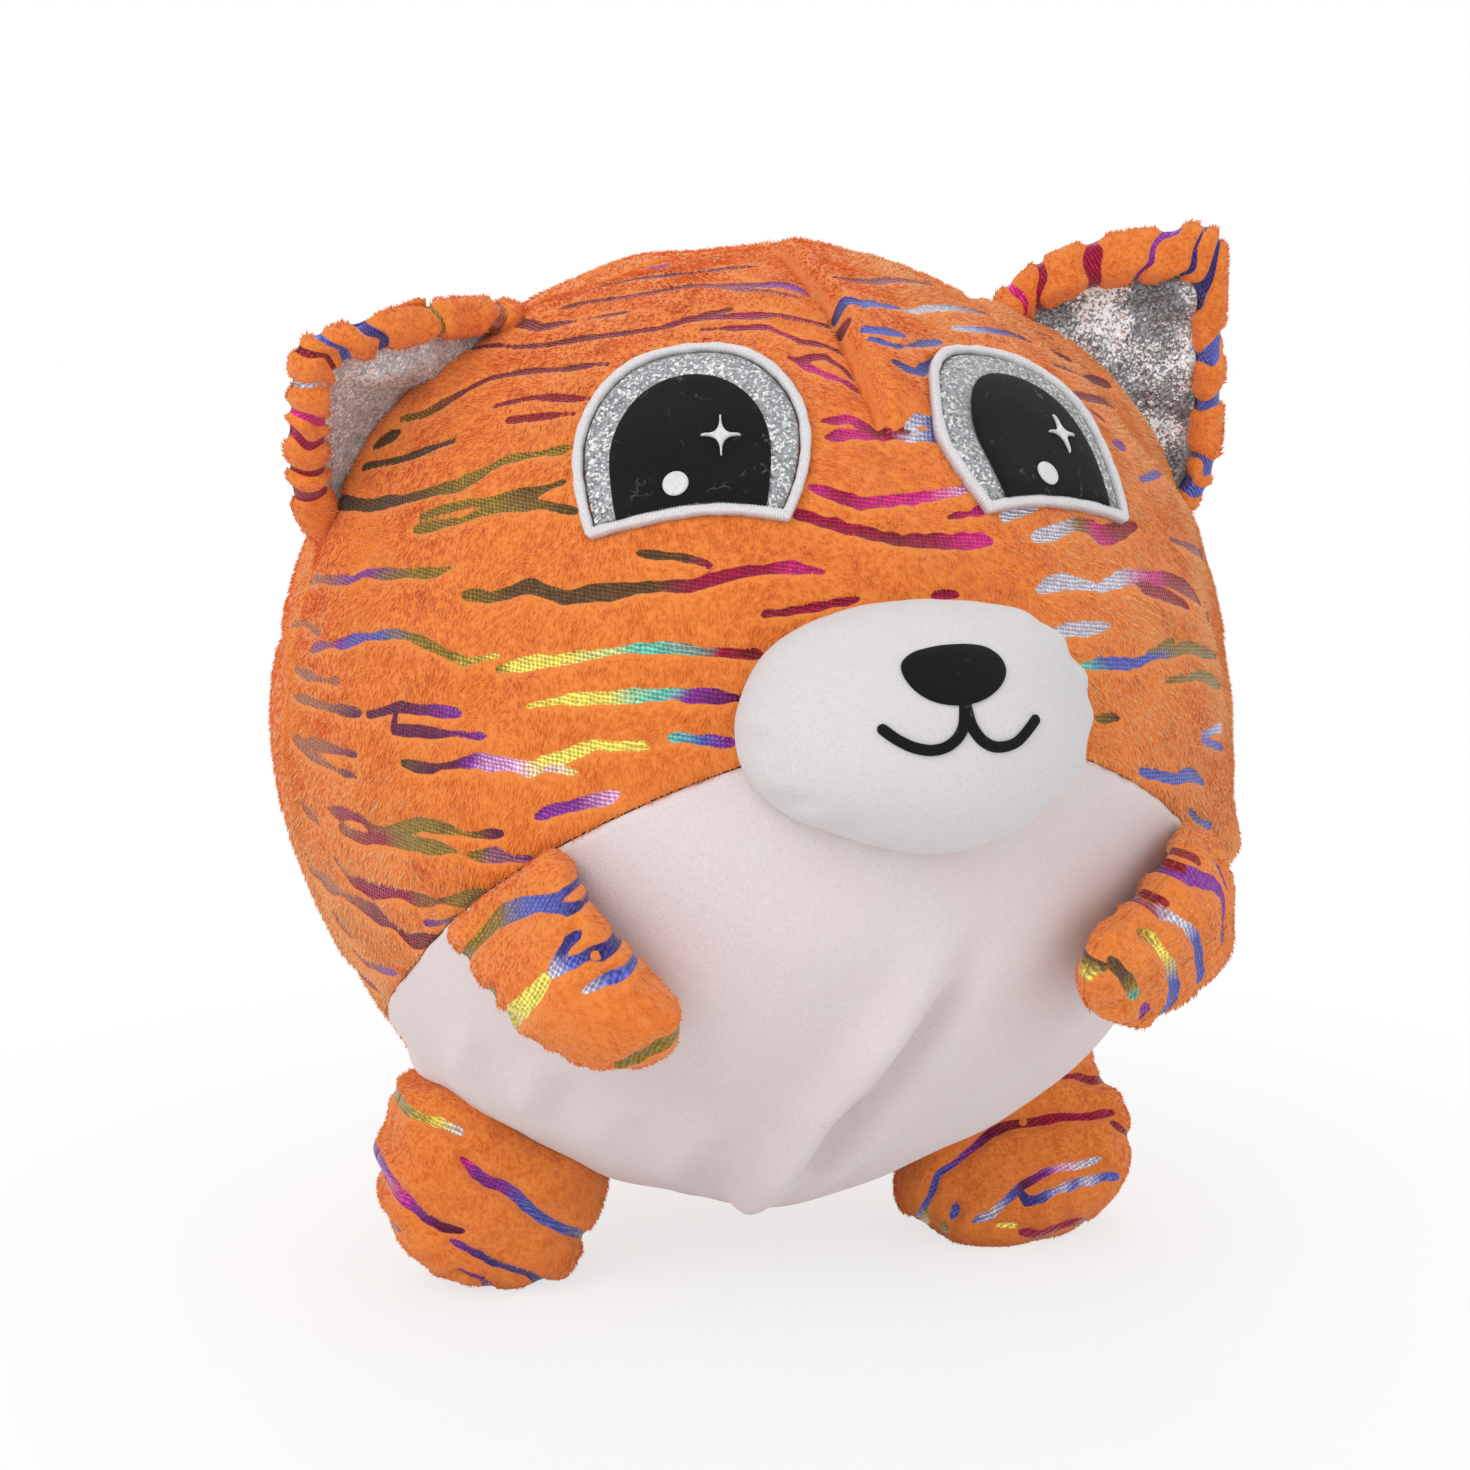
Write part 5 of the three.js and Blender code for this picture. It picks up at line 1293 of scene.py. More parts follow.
eye_edge = dome_outline(EYE_STEPS, **EYE)
pupil_edge = dome_outline(PUPIL_STEPS, **PUPIL)
muzzle_at, muzzle_back = ball_chart(unit_at(0, MUZZLE_ELEVATION), np.array([1.0, 0.0, 0.0]))
muzzle_edge = oval(MUZZLE_STEPS, MUZZLE_HALF_WIDTH, MUZZLE_HALF_HEIGHT, MUZZLE_SQUARENESS)
muzzle_edge = muzzle_edge + outward(muzzle_edge) * eased(MUZZLE_EASE, len(muzzle_edge))[:, None]


def under_patches(unit):
    """Whether an eye or the muzzle lies on the cover, so that no pile grows through it."""
    covered = np.zeros(len(unit), bool)
    charts = [(eye_chart(side)[1], eye_edge * EYE_CLEARING) for side in SIDES]
    for back, edge in charts + [(muzzle_back, muzzle_edge * MUZZLE_CLEARING)]:
        u, v, facing = back(unit)
        covered |= (facing > CHART_FACING) & inside(u, v, edge)
    return covered


traced = ball_paths(FACE_STRIPES)
traced_points = np.vstack([path for _, _, path in traced])
ball_stripes = traced + [stripe for area in STREWN_AREAS for stripe in strewn_stripes(*area, traced_points)]
corner = corner_azimuth()
corner_turn = np.degrees(np.arcsin(np.sin(np.radians(face_seam(corner))) / SIDE_SEAM_ROUND))
crown_tilt = np.degrees(np.arcsin(SIDE_SEAM_AHEAD))
up_the_back = back_seam(span(-crown_tilt, 180 + crown_tilt, BACK_STEPS))

# The cover's panels: lower seam, upper seam, rows between them
PANELS = {
    "face": (seam_line(crowded(-corner, corner, FACE_STEPS)),
             side_seam(crowded(corner_turn, 180 - corner_turn, FACE_STEPS)), FACE_ROWS),
    "belly": (side_seam(span(corner_turn, -180 - corner_turn, BELLY_STEPS)),
              seam_line(span(-corner, corner, BELLY_STEPS)), BELLY_ROWS),
    "back_left": (side_seam(span(90, -90, BACK_STEPS)), up_the_back, BACK_ROWS),
    "back_right": (side_seam(span(90, 270, BACK_STEPS)), up_the_back, BACK_ROWS),
}


def sew_ball():
    """The four panels of the cover, with foil sunk into the orange ones and pile over the rest."""
    for n, (name, (low, high, rows)) in enumerate(PANELS.items()):
        white = name == "belly"
        form = sewn_panel(low, high, rows, BELLY_PUCKER if white else 0.0)
        sewn = dict(stands_for=(f"{name}_panel",), fill=PANEL_FILL)
        if white:
            piece(f"{name}_cover", form, BELLY_WHITE, "white_plush", **sewn)
            continue
        flat = unit_of(form.points) * BALL_RADIUS
        depth, foil = stripe_field(flat, ball_stripes, stripe_wobble(flat))
        depth[np.linalg.norm(form.points, axis=1) < BALL_RADIUS - PILE_BED - CLOTH - SEAM_ROLL] = NO_STRIPE
        form.points -= unit_of(form.points) * (STRIPE_SUNK * smooth(depth, *STRIPE_SUNK_OVER))[:, None]
        unit = unit_of(form.points)
        turn, rise = bearing(unit * (np.array([-1, -1, 1]) if name.startswith("back") else 1))
        arc = np.radians(1) * BALL_RADIUS
        knit = spaced(turn * arc * np.cos(np.radians(rise)), rise * arc)
        piece(f"{name}_cover", form, PLUSH, "orange_plush", **sewn, striped=(depth, foil, knit))
        bare = np.maximum(depth, np.where(under_patches(unit), CLEARING_BARE, -CLEARING_BARE))
        crease, dart = dart_place(unit)
        bare = np.maximum(bare, np.where(dart > DART_BARE_FROM, DART_BARE - np.abs(crease), NO_STRIPE))
        plant_pile(f"{name}_pile", form, form.place[:, 1] < rows - 1, bare, lambda p: BALL_NAP, "toy", None,
                   FACE_PILE if name == "face" else BACK_PILE, BALL_TUFT, PILE_SEED + n, paints_sheen=True)


def pad_loops(outline, middle, top_shares, top, bottom_shares, bottom, place):
    """A pad: copies of an outline drawn in about its middle, outwards over the top and back underneath."""
    rings = []
    for shares, height in ((top_shares, top), (bottom_shares, bottom)):
        s = np.asarray(shares)[:, None]
        u = middle[0] + s * (outline[None, :, 0] - middle[0])
        v = middle[1] + s * (outline[None, :, 1] - middle[1])
        rings.append(place(u, v, height(s + 0 * u, u, v)))
    return np.concatenate(rings)


def edge_shares(count, start=0.06):
    """Shares from the middle to the edge, closer together towards the edge."""
    return np.sin(np.linspace(start, np.pi / 2, count))


def level(height):
    """A pad's side at one height."""
    return lambda s, u, v: height + 0 * s


def patch(outline, middle, layer, place, count, crown=0.0):
    """A sewn-on patch of even thickness with a rounded edge and a crown."""
    low, high = layer
    shares = edge_shares(count)

    def top(s, u, v):
        """The patch's upper side, rounded down at its edge."""
        edge = PATCH_EDGE + (1 - PATCH_EDGE) * np.sqrt(np.maximum(0, 1 - s ** PATCH_SQUARENESS))
        return low + (high - low) * edge + crown * (1 - s ** 2)

    return Form(pad_loops(outline, middle, shares, top, shares[::-3], level(low), place))


def stitch_ring(outline, place):
    """Satin stitches round an outline: a low arch carried along it, ridged once for every stitch."""
    length = np.linalg.norm(np.roll(outline, -1, axis=0) - outline, axis=1).sum()
    path = even(outline, int(length / STITCH_PITCH) * STITCH_STEPS)
    turn = np.linspace(0, np.pi, ARCH_STEPS)
    across, rise = np.cos(turn) * BORDER_WIDTH / 2, np.sin(turn) ** STITCH_ARCH
    ridge = 1 + STITCH_RIDGE * np.cos(2 * np.pi * np.arange(len(path)) / STITCH_STEPS)
    ridge = (ridge + STITCH_UNEVEN * unevenness(spaced(*path.T), STITCH_WAVE, STITCH_SEED))[:, None]
    normal = outward(path)
    u = path[:, :1] + normal[:, :1] * across * ridge
    v = path[:, 1:] + normal[:, 1:] * across * ridge
    arch = place(u, v, BORDER_SEAT + BORDER_HEIGHT * rise * ridge)
    under = place(u[:, ::-4], v[:, ::-4], BORDER_FOOT + 0 * u[:, ::-4])
    return Form(np.concatenate([arch, under], axis=1), ring=True)


def make_eye(side):
    """One eye: glitter, felt pupil, the stitched border and the two stitched gleams."""
    at, _ = eye_chart(side)
    place = lambda u, v, w: on_cover(at(u, v), w)
    aside = -1 if side == "left" else 1
    cloth_edge = even(eye_edge, GLITTER_STEPS)
    cloth_edge = cloth_edge - outward(cloth_edge) * GLITTER_INSET
    cloth = patch(cloth_edge, (0, 0), GLITTER_LAYER, place, PATCH_RINGS)
    piece(f"{side}_eye_glitter_cloth", cloth, GLITTER, "silver_glitter", (f"{side}_eye_glitter",))
    border = stitch_ring(eye_edge, place)
    piece(f"{side}_eye_border_stitching", border, THREAD, "white_thread", (f"{side}_eye_border",))
    felt = patch(pupil_edge, (0, PUPIL["waist"]), PUPIL_LAYER, place, PATCH_RINGS)
    piece(f"{side}_eye_pupil_felt", felt, FELT, "black_felt", (f"{side}_eye_pupil",))
    turn = np.linspace(0, 2 * np.pi, GLEAM_STEPS, endpoint=False)
    circle = np.stack([np.cos(turn), np.sin(turn)], axis=1)
    star_at, dot_at = np.array([aside * STAR_SIDE, STAR_UP]), np.array([aside * DOT_SIDE, DOT_UP])
    star = star_at + np.array([STAR_REACH, STAR_HEIGHT]) * signed_power(circle, STAR_POWER)
    star += outward(star) * STAR_ROUND
    for name, outline, middle in (("star", star, star_at), ("dot", dot_at + DOT_RADIUS * circle, dot_at)):
        gleam = patch(outline, middle, GLEAM_LAYER, place, GLEAM_RINGS, GLEAM_CROWN)
        piece(f"{side}_eye_{name}_stitching", gleam, THREAD, "white_thread", (f"{side}_eye_{name}",))


def muzzle_share(u, v):
    """Share of the way from the muzzle's middle to its edge."""
    turn = np.arctan2(muzzle_edge[:, 1], muzzle_edge[:, 0])
    reach = np.linalg.norm(muzzle_edge, axis=1)
    return np.hypot(u, v) / np.interp(np.arctan2(v, u), turn, reach, period=2 * np.pi)


def muzzle_height(u, v):
    """The muzzle's dome over the ball: full in the middle, gathered in small puckers at its sewn edge."""
    share = np.minimum(muzzle_share(u, v), 1)
    dome = MUZZLE_REACH * (1 - share ** MUZZLE_ROUND) ** MUZZLE_FULLNESS
    turn = np.arctan2(v / MUZZLE_HALF_HEIGHT, u / MUZZLE_HALF_WIDTH)
    ring = spaced(np.cos(turn), np.sin(turn)) * MUZZLE_PUCKER_RING
    gathers = unevenness(ring, MUZZLE_PUCKER_WAVE, MUZZLE_SEEDS[0])
    pucker = gathers * smooth(share, *MUZZLE_PUCKER_FROM) * MUZZLE_PUCKER
    pucker = pucker * (MUZZLE_PUCKER_END - share) ** 0.5
    lumps = MUZZLE_LUMP * unevenness(spaced(u, v), MUZZLE_LUMP_WAVE, MUZZLE_SEEDS[1])
    return MUZZLE_SEAT + dome + pucker + lumps * (1 - share)


def under_muzzle(u, v, w):
    """A point over the ball where the muzzle lies."""
    unit = muzzle_at(u, v)
    return unit * (drawn_radius(unit) + w)[..., None]


def on_muzzle(u, v, w):
    """A point over the muzzle's cloth."""
    return under_muzzle(u, v, muzzle_height(u, v) + w)


def stitched_line(path, width, place):
    """A stitched stroke: a low arch carried along a smoothed path, rounded at its start."""
    points = np.array(path, float)
    gone = gone_along(points)
    at = np.linspace(0, gone[-1], MOUTH_STEPS)
    line = np.stack([np.interp(at, gone, points[:, k]) for k in range(2)], axis=1)
    for _ in range(MOUTH_PASSES):
        line[1:-1] = (line[:-2] + 2 * line[1:-1] + line[2:]) / 4
    along = np.gradient(line, axis=0)
    normal = unit_of(np.stack([-along[:, 1], along[:, 0]], axis=1))
    turn = np.linspace(0, np.pi, ARCH_STEPS)
    ends = np.sqrt(np.maximum(MOUTH_END, 1 - np.maximum(0, 1 - at / (width / 2)) ** 2))[:, None]
    u = line[:, :1] + normal[:, :1] * np.cos(turn) * width / 2 * ends
    v = line[:, 1:] + normal[:, 1:] * np.cos(turn) * width / 2 * ends
    arch = place(u, v, MOUTH_SEAT + MOUTH_HEIGHT * np.sin(turn) ** MOUTH_ARCH * ends)
    under = place(u[:, ::-4], v[:, ::-4], MOUTH_UNDER + 0 * u[:, ::-4])
    return Form(np.concatenate([arch, under], axis=1))


def make_muzzle():
    """The white muzzle with its filling, the felt nose and the stitched mouth."""
    shares = edge_shares(MUZZLE_RINGS)
    cover = pad_loops(muzzle_edge, (0, 0), shares, lambda s, u, v: muzzle_height(u, v), shares[::-6],
                      level(MUZZLE_UNDER), under_muzzle)
    piece("muzzle_plush", Form(cover), MUZZLE_WHITE, "white_plush", ("muzzle_cover",), fill=LIMB_FILL)
    shares = edge_shares(MUZZLE_FILLING_RINGS) * MUZZLE_FILLING_REACH
    top = lambda s, u, v: np.maximum(MUZZLE_FILLING_LEAST, muzzle_height(u, v) - MUZZLE_WALL)
    fill = pad_loops(even(muzzle_edge, MUZZLE_FILLING_STEPS), (0, 0), shares, top, shares[::-3],
                     level(MUZZLE_FILLING_LOW), under_muzzle)
    piece("muzzle_filling", Form(fill), FIBRE, "fibre_stuffing", ("muzzle_stuffing",), fill=LIMB_FILL)
    nose = rounded(NOSE_OUTLINE, NOSE_STEPS, NOSE_PASSES)
    felt = patch(nose, nose.mean(axis=0), NOSE_LAYER, on_muzzle, NOSE_RINGS)
    piece("nose_felt", felt, FELT, "black_felt", ("nose_patch",))
    strokes = [stitched_line(path, MOUTH_WIDTH, on_muzzle) for path in MOUTH_STROKES]
    piece("mouth_stitching", Form.joined(strokes), FELT, "black_felt", ("mouth_embroidery",))


def pinched(form, depth, amount):
    """A form drawn in along its normals where foil stripes hold the cloth flat."""
    form.points = form.points - form.normals() * (amount * smooth(depth, *PINCHED_OVER))[:, None]
    return form


def kept_clear(form, radius, height):
    """A form's points moved out to a least distance from the ball's middle and up to a least height."""
    far = np.linalg.norm(form.points, axis=1)
    form.points *= (np.maximum(far, radius) / far)[:, None]
    form.points[:, 2] = np.maximum(form.points[:, 2], FLOOR + height)
    return form


def seam_ease(shares, around, rest):
    """1 over a limb's panel, falling to 0 along its seam, for each of its points."""
    return np.concatenate([np.repeat(1 - smooth(shares, *LIMB_SEAM), around), np.zeros(rest)])


def row_point(point, side):
    """A point about the ball's middle, on its side, in the row frame in metres."""
    return (point * MIRROR[side] + BALL_MIDDLE) * MM


def stuff_limb(side, limb, outline, middle, place, root, along, lie):
    """A stuffed limb: two crowned panels sewn edge to edge, gathered at the seam, with filling and pile."""
    made = LIMBS[limb]
    half, full, clear = made["half"], made["full"], made["clear"]
    seed = LIMB_SEED[side] + made["seed"]
    bend = [row_point(root + reach * along, side) for reach in made["bend"]]
    rides = dict(body=f"{side}_{limb}", bend=bend)
    ring = np.arange(len(outline)) / len(outline) * 2 * np.pi
    circle = spaced(np.cos(ring), np.sin(ring)) * LIMB_EDGE_RING
    drawn = tuple((width, names, np.array(path, float)) for width, names, path in made["stripes"][side])
    gaps = [line_distance(outline, path)[0] for _, _, path in drawn]
    notch = LIMB_NOTCH * np.max([bell(gap, LIMB_NOTCH_WIDTH) for gap in gaps], axis=0)
    waves = [height * unevenness(circle, wave, seed + n) for n, (height, wave) in enumerate(LIMB_EDGE_WAVES)]
    edge = outline + outward(outline) * (sum(waves) - notch)[:, None]
    crown = lambda s: np.maximum(0, 1 - s ** full) ** (1 / full)
    shares = edge_shares(LIMB_RINGS, LIMB_RING_START)
    flat = (shares[:, None, None] * (edge - middle) + middle).reshape(-1, 2)
    carried = lambda u, v, w: place(u, v, w) * MIRROR[side]
    for way, face in zip((1, -1), made["faces"]):
        node = f"{side}_{limb}_{face}"

        def top(s, u, v):
            """A panel's outside: its crown, lumps over it and gathers near its seam, less the pile's bed."""
            own = spaced(u, v, LIMB_LUMP_APART * way)
            lumps = LIMB_LUMP * (1 - s ** LIMB_LUMP_FADE) * unevenness(own, LIMB_LUMP_WAVE, seed + 2)
            near_seam = smooth(s, *LIMB_GATHER_FROM) * (1 - smooth(s, *LIMB_GATHER_TO))
            round_it = unit_of(spaced(u - middle[0], v - middle[1])) * LIMB_EDGE_RING
            gathers = LIMB_GATHER * near_seam * unevenness(round_it, LIMB_GATHER_WAVE, seed + 3)
            swell = SEWN_EDGE + (half - SEWN_EDGE) * crown(s) + lumps + gathers
            return way * (swell - PILE_BED * (1 - s ** LIMB_BED_FADE))

        def bottom(s, u, v):
            """A panel's inside: a flatter crown."""
            room = LIMB_LINING_SHARE * (half - CLOTH) * crown(np.minimum(1, s * LIMB_LINING_SPREAD))
            return way * np.maximum(LIMB_LINING_LEAST, room)

        back_shares = LIMB_LINING_REACH * shares[::-5]
        form = Form(pad_loops(edge, middle, shares, top, back_shares, bottom, carried))
        wobbles = [LIMB_WOBBLE * wobble for wobble in stripe_wobble(spaced(*flat.T))]
        depth, foil = stripe_field(flat, drawn, wobbles)
        rest = len(form.points) - len(flat)
        depth = np.concatenate([depth, np.full(rest, NO_STRIPE)])
        foil = np.vstack([foil, plain_foil(rest)])
        form = pinched(form, depth, made["pinch"] * seam_ease(shares, len(edge), rest))
        form = kept_clear(form, BALL_RADIUS + clear[way], FLOOR_GAP)
        knit = np.vstack([spaced(*flat.T), np.zeros((rest, 3))])
        piece(f"{node}_cover", form, PLUSH, "orange_plush", (node,), **rides, fill=LIMB_FILL,
              striped=(depth, foil, knit))
        carries = form.place[:, 0] < len(shares) - 1
        plant_pile(f"{node}_pile", form, carries, depth, lambda p: lie * MIRROR[side], **rides,
                   density=LIMB_PILE, length=LIMB_TUFT, seed=seed + 5 + way, paints_sheen=made["paints_sheen"])
    shares = edge_shares(LIMB_FILLING_RINGS) * LIMB_FILLING_REACH

    def height(s, u, v):
        """Half the filling's thickness."""
        room = LIMB_FILLING_SHARE * (half - CLOTH) * crown(s / LIMB_FILLING_REACH * LIMB_FILLING_SPREAD)
        return np.maximum(LIMB_FILLING_LEAST, room)

    fill = pad_loops(even(outline, LIMB_FILLING_STEPS), middle, shares, height, shares[::-1],
                     lambda s, u, v: -height(s, u, v), carried)
    fill = kept_clear(Form(fill), BALL_RADIUS + clear[-1] + LIMB_FILLING_LIFT, CLOTH)
    piece(f"{side}_{limb}_filling", fill, FIBRE, "fibre_stuffing", (f"{side}_{limb}_stuffing",), **rides,
          fill=LIMB_FILL)


def make_arm(side):
    """One arm: a sleeve sewn to the ball along its root, standing off it towards its rounded tip."""
    middle = unit_at(ARM_AZIMUTH, ARM_ELEVATION)
    across = turned(level_across(middle), middle, 180 - ARM_TURN)
    at, _ = ball_chart(middle, across)

    def place(u, v, w):
        """A point over the arm's middle surface, which rises from the ball along the arm."""
        rise = (ARM_HALF_THICKNESS - PILLOW_EDGE) * smooth(v, 0, ARM_RISE)
        lift = ARM_STAND + PILLOW_EDGE + rise - ARM_SETTLE[side] * smooth(v, *ARM_SETTLE_RISE)
        return at(u, v) * (BALL_RADIUS + lift + w)[..., None]

    down = np.cross(middle, across)
    outline = rounded(ARM_OUTLINE[side], ARM_STEPS, ARM_PASSES)
    stuff_limb(side, "arm", outline, np.array([0, ARM_LENGTH / 2]), place, middle * BALL_RADIUS, down, down)


def make_foot(side):
    """One foot: a thick pad sewn under the ball by its upper edge, flat where it stands."""
    splay, tilt = np.radians(FOOT_SPLAY), np.radians(FOOT_TILT[side])
    out = np.array([np.sin(splay), 0.0, -np.cos(splay)])
    across = np.cross(out, FRONT)
    unit = unit_of(out * BALL_RADIUS + FRONT * FOOT_FORWARD)
    root = unit * drawn_radius(unit)
    lower, half_height = (FOOT_REACH + FOOT_ROOT) / 2, (FOOT_REACH - FOOT_ROOT) / 2
    outline = oval(FOOT_STEPS, FOOT_HALF_WIDTH, half_height, FOOT_SQUARENESS) + np.array([0, lower])
    outline = outline + outward(outline) * eased(FOOT_EASE[side], len(outline))[:, None]
    hang, face = out * np.cos(tilt) + FRONT * np.sin(tilt), FRONT * np.cos(tilt) - out * np.sin(tilt)
    centre = root + lower * out

    def place(u, v, w):
        """A point over the foot's middle plane."""
        return centre + u[..., None] * across + (v - lower)[..., None] * hang + w[..., None] * face

    stuff_limb(side, "foot", outline, np.array([0, lower]), place, root, out, hang)


def ear_outline(side):
    """An ear's outline: a straight root, bowed sides and a rounded tip, let out most low on its +u side."""
    tip = np.array([EAR_TIP_SHIFT[side], EAR_HEIGHT])
    outer, inner = np.array([EAR_HALF_BASE, 0.0]), np.array([-EAR_HALF_BASE, 0.0])
    bow = np.array([EAR_SIDE_BOW, 0.0])
    start = tip + unit_of(outer - tip) * EAR_TIP_ROUND
    end = tip + unit_of(inner - tip) * EAR_TIP_ROUND
    line = even(np.vstack([
        [[-EAR_HALF_BASE, EAR_ROOT], [EAR_HALF_BASE, EAR_ROOT]],
        curve(outer, (start + outer) / 2 + bow, start, EAR_SIDE_STEPS),
        curve(start, tip, end, EAR_TIP_STEPS),
        curve(end, (end + inner) / 2 - bow, inner, EAR_SIDE_STEPS),
    ]), EAR_STEPS)
    let_out = EAR_LET_OUT * (line[:, 0] > 0) * (1 - smooth(line[:, 1], *EAR_LET_OUT_RISE))
    fuller = EAR_FULLER[side] * (1 + let_out)
    return line + outward(line) * (fuller * smooth(line[:, 1], *EAR_FULLER_RISE))[:, None]


def ear_rings(side, spread, middle, shares):
    """Foil rings across the ear's rim: half a width less the distance round the rim, fading inside it."""
    turn = np.degrees(np.arctan2(spread[..., 1] - middle[1], spread[..., 0])).ravel()
    reach = np.linalg.norm(spread - middle, axis=-1).ravel()
    short = RING_FADE * np.maximum(0, RING_START - np.repeat(shares, spread.shape[1]))
    wavy = unevenness(spaced(*spread.reshape(-1, 2).T), RING_WAVE, EAR_SEED[side] + 1)
    depth, foil = np.full(len(turn), NO_RING), plain_foil(len(turn))
    for at, width, name in EAR_RINGS[side]:
        aside = np.abs(np.radians(turn - at + RING_SWAY * wavy)) * reach
        within = width / 2 * (1 + RING_WAVER * wavy) - aside - short
        foil[within > depth] = linear(FOILS[name])
        depth = np.maximum(depth, within)
    depth[:EAR_FLOOR_ROWS * spread.shape[1]] = NO_STRIPE
    return np.concatenate([depth, [NO_STRIPE, NO_STRIPE]]), np.vstack([foil, foil[:2]])


def make_ear(side):
    """One ear: a shell with a rolled rim ringed by foil, and a crumpled glitter lining set into it."""
    lean, seed = np.radians(EAR_LEAN[side]), EAR_SEED[side]
    across = np.cross(EAR_OUT, FRONT)
    root = EAR_OUT * np.sqrt(BALL_RADIUS ** 2 - EAR_FORWARD ** 2 - EAR_HALF_BASE ** 2) + FRONT * EAR_FORWARD
    up = EAR_OUT * np.cos(lean) + FRONT * np.sin(lean)
    face = np.cross(across, up)
    outline = ear_outline(side)
    middle = np.array([EAR_MIDDLE[side], EAR_MIDDLE_UP])
    start = root + EAR_BEND[0] * EAR_OUT
    bend = (row_point(start, side), row_point(start + EAR_BEND[1] * up, side))
    rides = dict(body=f"{side}_ear", bend=bend)

    def place(u, v, w):
        """A point of the ear, kept from sinking far into the ball."""
        points = root + u[..., None] * across + v[..., None] * up + w[..., None] * face
        far = np.linalg.norm(points, axis=-1, keepdims=True)
        return points * (np.maximum(far, BALL_RADIUS - EAR_SUNK) / far) * MIRROR[side]

    def lumps(u, v, w):
        """Unevenness of the shell."""
        return EAR_LUMP * unevenness(spaced(u, v, w), EAR_LUMP_WAVE, seed)

    def front(s, u, v):
        """The shell's front: a half-round rim about a flat floor."""
        aside = np.minimum(1, np.abs(s - (1 + EAR_RIM_START) / 2) / ((1 - EAR_RIM_START) / 2))
        rim = EAR_RIM_HALF * np.sqrt(1 - aside ** 2) + EAR_WALL
        rim = rim + lumps(u, v, 0) * smooth(s, *EAR_RIM_LUMPS)
        return np.where(s > EAR_RIM_START, rim, EAR_FLOOR)

    def back(s, u, v):
        """The shell's crowned back."""
        fade = 1 - s ** EAR_BACK_ROUND
        return -EAR_WALL - EAR_BACK * np.sqrt(np.maximum(0, fade)) + lumps(u, v, EAR_BACK_APART) * fade

    def crumpled(s, u, v):
        """The lining's front: slow folds and finer creases, calmer at its edge."""
        folds = LINING_FOLD * unevenness(spaced(u, LINING_FOLD_LENGTH * v), LINING_FOLD_WAVE, seed + 5)
        creases = LINING_CREASE * unevenness(spaced(u, v), LINING_CREASE_WAVE, seed + 6)
        crumple = (1 - LINING_CALM * s ** LINING_CALM_POWER) * (folds + creases)
        return EAR_FLOOR + LINING_RAISED + np.maximum(LINING_DEEPEST, crumple)

    roll = (1 - np.cos(np.linspace(*EAR_ROLL_ROWS))) / 2
    front_shares = np.concatenate([np.linspace(EAR_FLOOR_START, EAR_RIM_START, EAR_FLOOR_ROWS),
                                   EAR_RIM_START + (1 - EAR_RIM_START) * roll])
    back_edge = 1 - np.linspace(*EAR_BACK_EDGE_ROWS) ** 2 / 2
    back_shares = np.concatenate([back_edge, np.linspace(*EAR_BACK_ROWS)])
    shares = np.concatenate([front_shares, back_shares])
    spread = shares[:, None, None] * (outline - middle) + middle
    depth, foil = ear_rings(side, spread, middle, shares)
    knit = np.vstack([spaced(*spread.reshape(-1, 2).T), np.zeros((2, 3))])
    form = Form(pad_loops(outline, middle, front_shares, front, back_shares, back, place))
    form = pinched(form, depth, EAR_PINCH)
    piece(f"{side}_ear_shell_cover", form, PLUSH, "orange_plush", (f"{side}_ear_shell",), **rides,
          fill=EAR_FILL, striped=(depth, foil, knit))
    nap = lambda p: (up * EAR_NAP_UP + unit_of(p) * EAR_NAP_OUT) * MIRROR[side]
    plant_pile(f"{side}_ear_pile", form, form.place[:, 0] > EAR_FLOOR_ROWS, depth, nap, **rides,
               density=EAR_PILE, length=EAR_TUFT, seed=seed + 3)
    lining_edge = middle + (outline - middle) * (EAR_RIM_START + LINING_OVERLAP)
    shares = np.linspace(*EAR_LINING_ROWS)
    under = level(EAR_FLOOR + LINING_UNDER)
    lining = pad_loops(lining_edge, middle, shares, crumpled, shares[::-5], under, place)
    piece(f"{side}_ear_lining_cloth", Form(lining), EAR_GLITTER[side], "silver_glitter",
          (f"{side}_ear_lining",), **rides)


def make_filling():
    """The ball's stuffing: a sphere of loops from pole to pole, lumpy."""
    azimuth = np.linspace(-180, 180, FILLING_STEPS, endpoint=False)[None, :]
    elevation = np.linspace(-FILLING_POLE, FILLING_POLE, FILLING_ROWS)[:, None]
    unit = unit_at(*np.broadcast_arrays(azimuth, elevation))
    lumps = FILLING_LUMP * unevenness(unit * FILLING_SPHERE, FILLING_WAVE, FILLING_SEED)
    radius = LINING_RADIUS - FILLING_GAP + lumps
    filling = Form(unit * radius[..., None])
    piece("ball_filling", filling, FIBRE, "fibre_stuffing", ("ball_stuffing",), fill=PANEL_FILL)


sew_ball()
make_filling()
make_muzzle()
for side in SIDES:
    make_eye(side)
    make_ear(side)
    make_arm(side)
    make_foot(side)

# Camera at the photograph's angle
camera = bpy.data.objects.new("camera", bpy.data.cameras.new("camera"))
bpy.context.scene.collection.objects.link(camera)
camera.data.sensor_width = SENSOR_WIDTH
camera.data.lens = FOCAL / FRAME * SENSOR_WIDTH
camera.data.shift_x = SHIFT_X / FRAME
camera.data.shift_y = SHIFT_Y / FRAME
camera.location = (BALL_MIDDLE + unit_at(YAW, PITCH) * DISTANCE) * MM
camera.rotation_euler = (np.radians(90 - PITCH), 0.0, np.radians(YAW))
bpy.context.scene.camera = camera

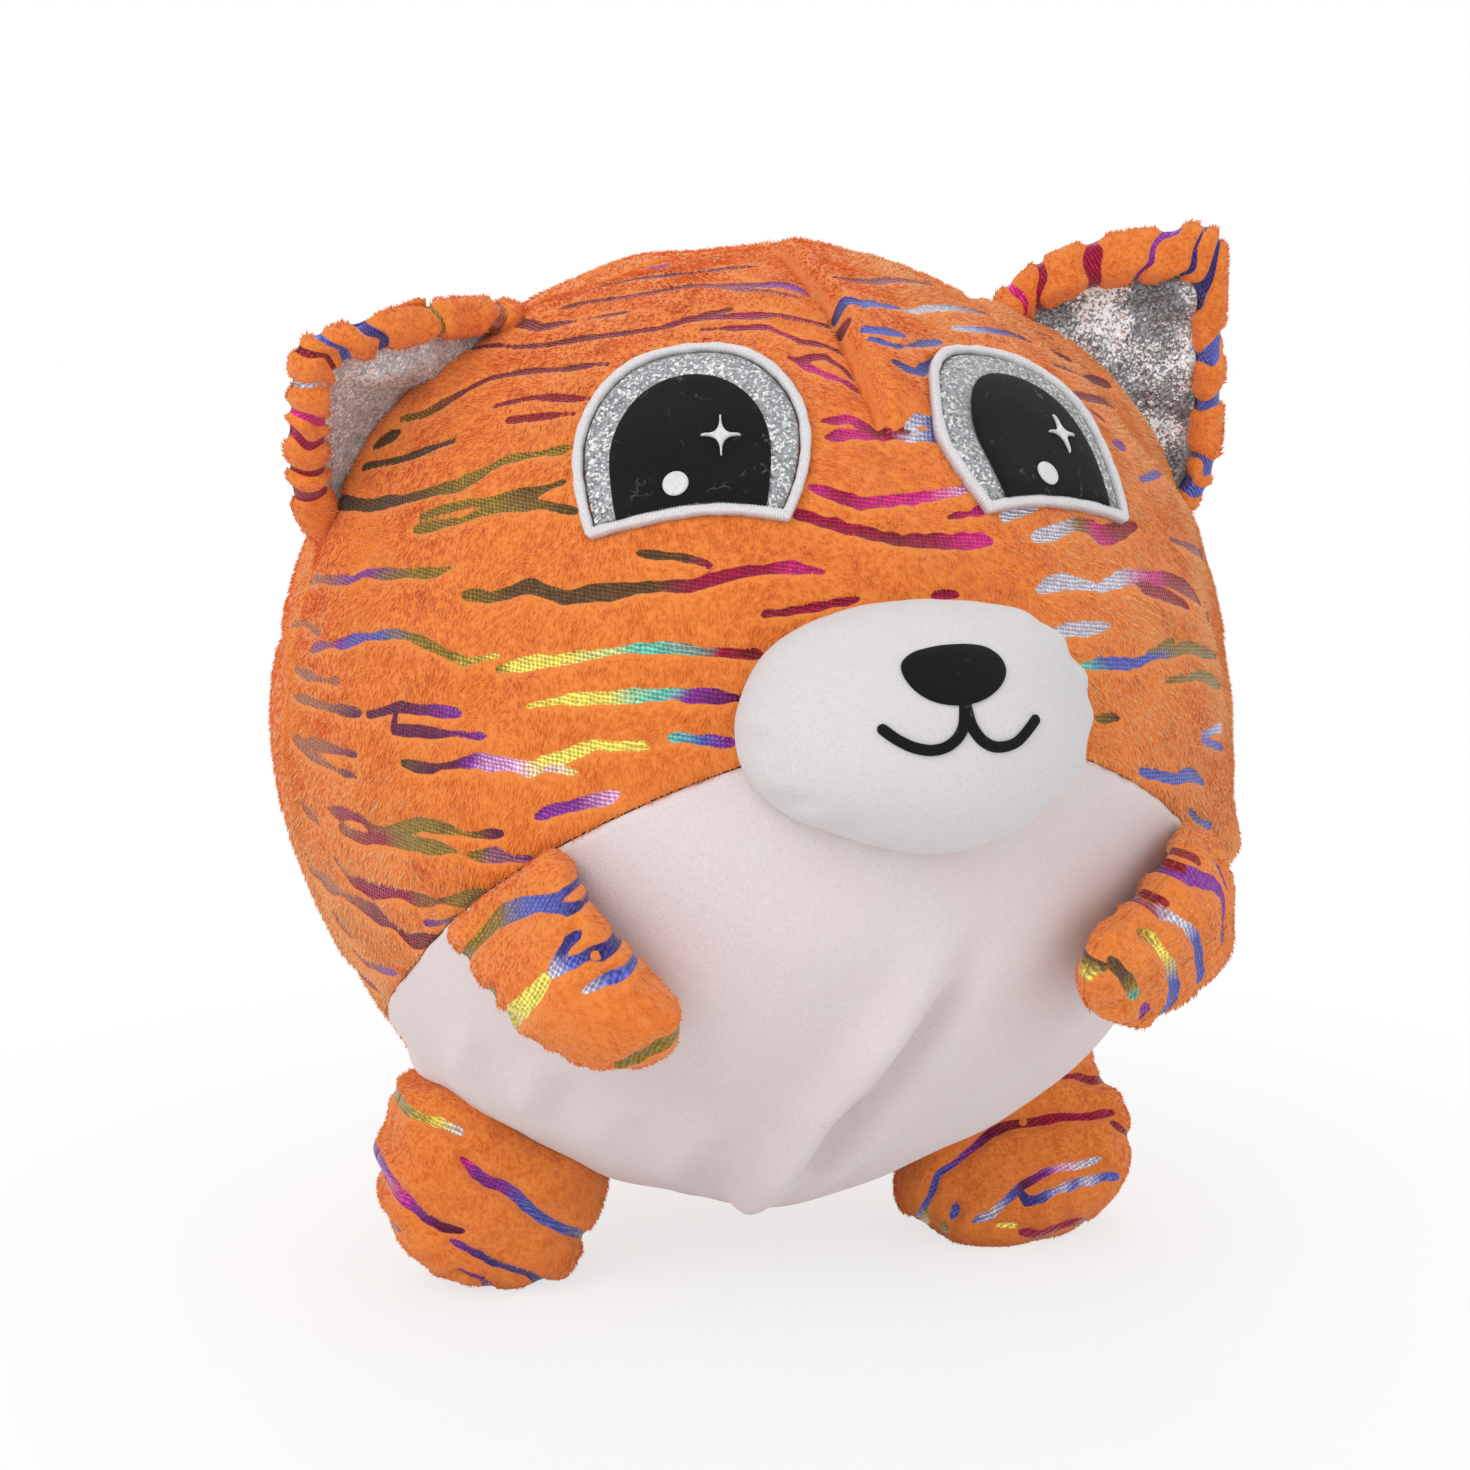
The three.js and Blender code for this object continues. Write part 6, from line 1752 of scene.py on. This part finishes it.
for name, azimuth, elevation, distance, size, power in LAMPS:
    lamp = bpy.data.objects.new(name, bpy.data.lights.new(name, "AREA"))
    bpy.context.scene.collection.objects.link(lamp)
    lamp.data.size = size
    lamp.data.energy = power
    lamp.location = (BALL_MIDDLE + unit_at(azimuth, elevation) * distance) * MM
    lamp.rotation_euler = (np.radians(90 - elevation), 0.0, np.radians(azimuth))


def floor_finish():
    """A pale floor: plain white to the eye, with the shadow kept round the toy and fading outwards."""
    look = Look("pale_floor")
    far = look.vectors("LENGTH", look.where(), output="Value")
    cloth = look.node("ShaderNodeBsdfDiffuse", {}, {"Color": FLOOR_GREY})
    white = look.node("ShaderNodeEmission", {}, {"Color": WHITE, "Strength": 1.0})
    share = look.looked_at() * look.ramp(far, *SHADOW_REACH, SHADOW_HELD, 1.0)
    mixed = look.node("ShaderNodeMixShader", {}, {0: share, 1: cloth, 2: white})
    look.node("ShaderNodeOutputMaterial", {}, {"Surface": mixed})
    return look


def make_stage():
    """A flat square floor a few metres wide."""
    mesh = bpy.data.meshes.new("floor")
    corners = [(-FLOOR_HALF, -FLOOR_HALF, 0), (FLOOR_HALF, -FLOOR_HALF, 0), (FLOOR_HALF, FLOOR_HALF, 0),
               (-FLOOR_HALF, FLOOR_HALF, 0)]
    mesh.from_pydata(corners, [], [(0, 1, 2, 3)])
    mesh.materials.append(floor_finish().material)
    floor = bpy.data.objects.new("floor", mesh)
    bpy.context.scene.collection.objects.link(floor)


def light_world():
    """A white world that the camera sees in full and that lights the toy more softly."""
    world = bpy.data.worlds.new("studio")
    bpy.context.scene.world = world
    studio = Look("studio", world)
    dim = studio.node("ShaderNodeBackground", {}, {"Color": WHITE, "Strength": WORLD_LIGHT})
    white = studio.node("ShaderNodeBackground", {}, {"Color": WHITE, "Strength": 1.0})
    mixed = studio.node("ShaderNodeMixShader", {}, {0: studio.looked_at(), 1: dim, 2: white})
    studio.node("ShaderNodeOutputWorld", {}, {"Surface": mixed})


make_stage()
light_world()
bpy.context.scene.view_settings.view_transform = "Standard"
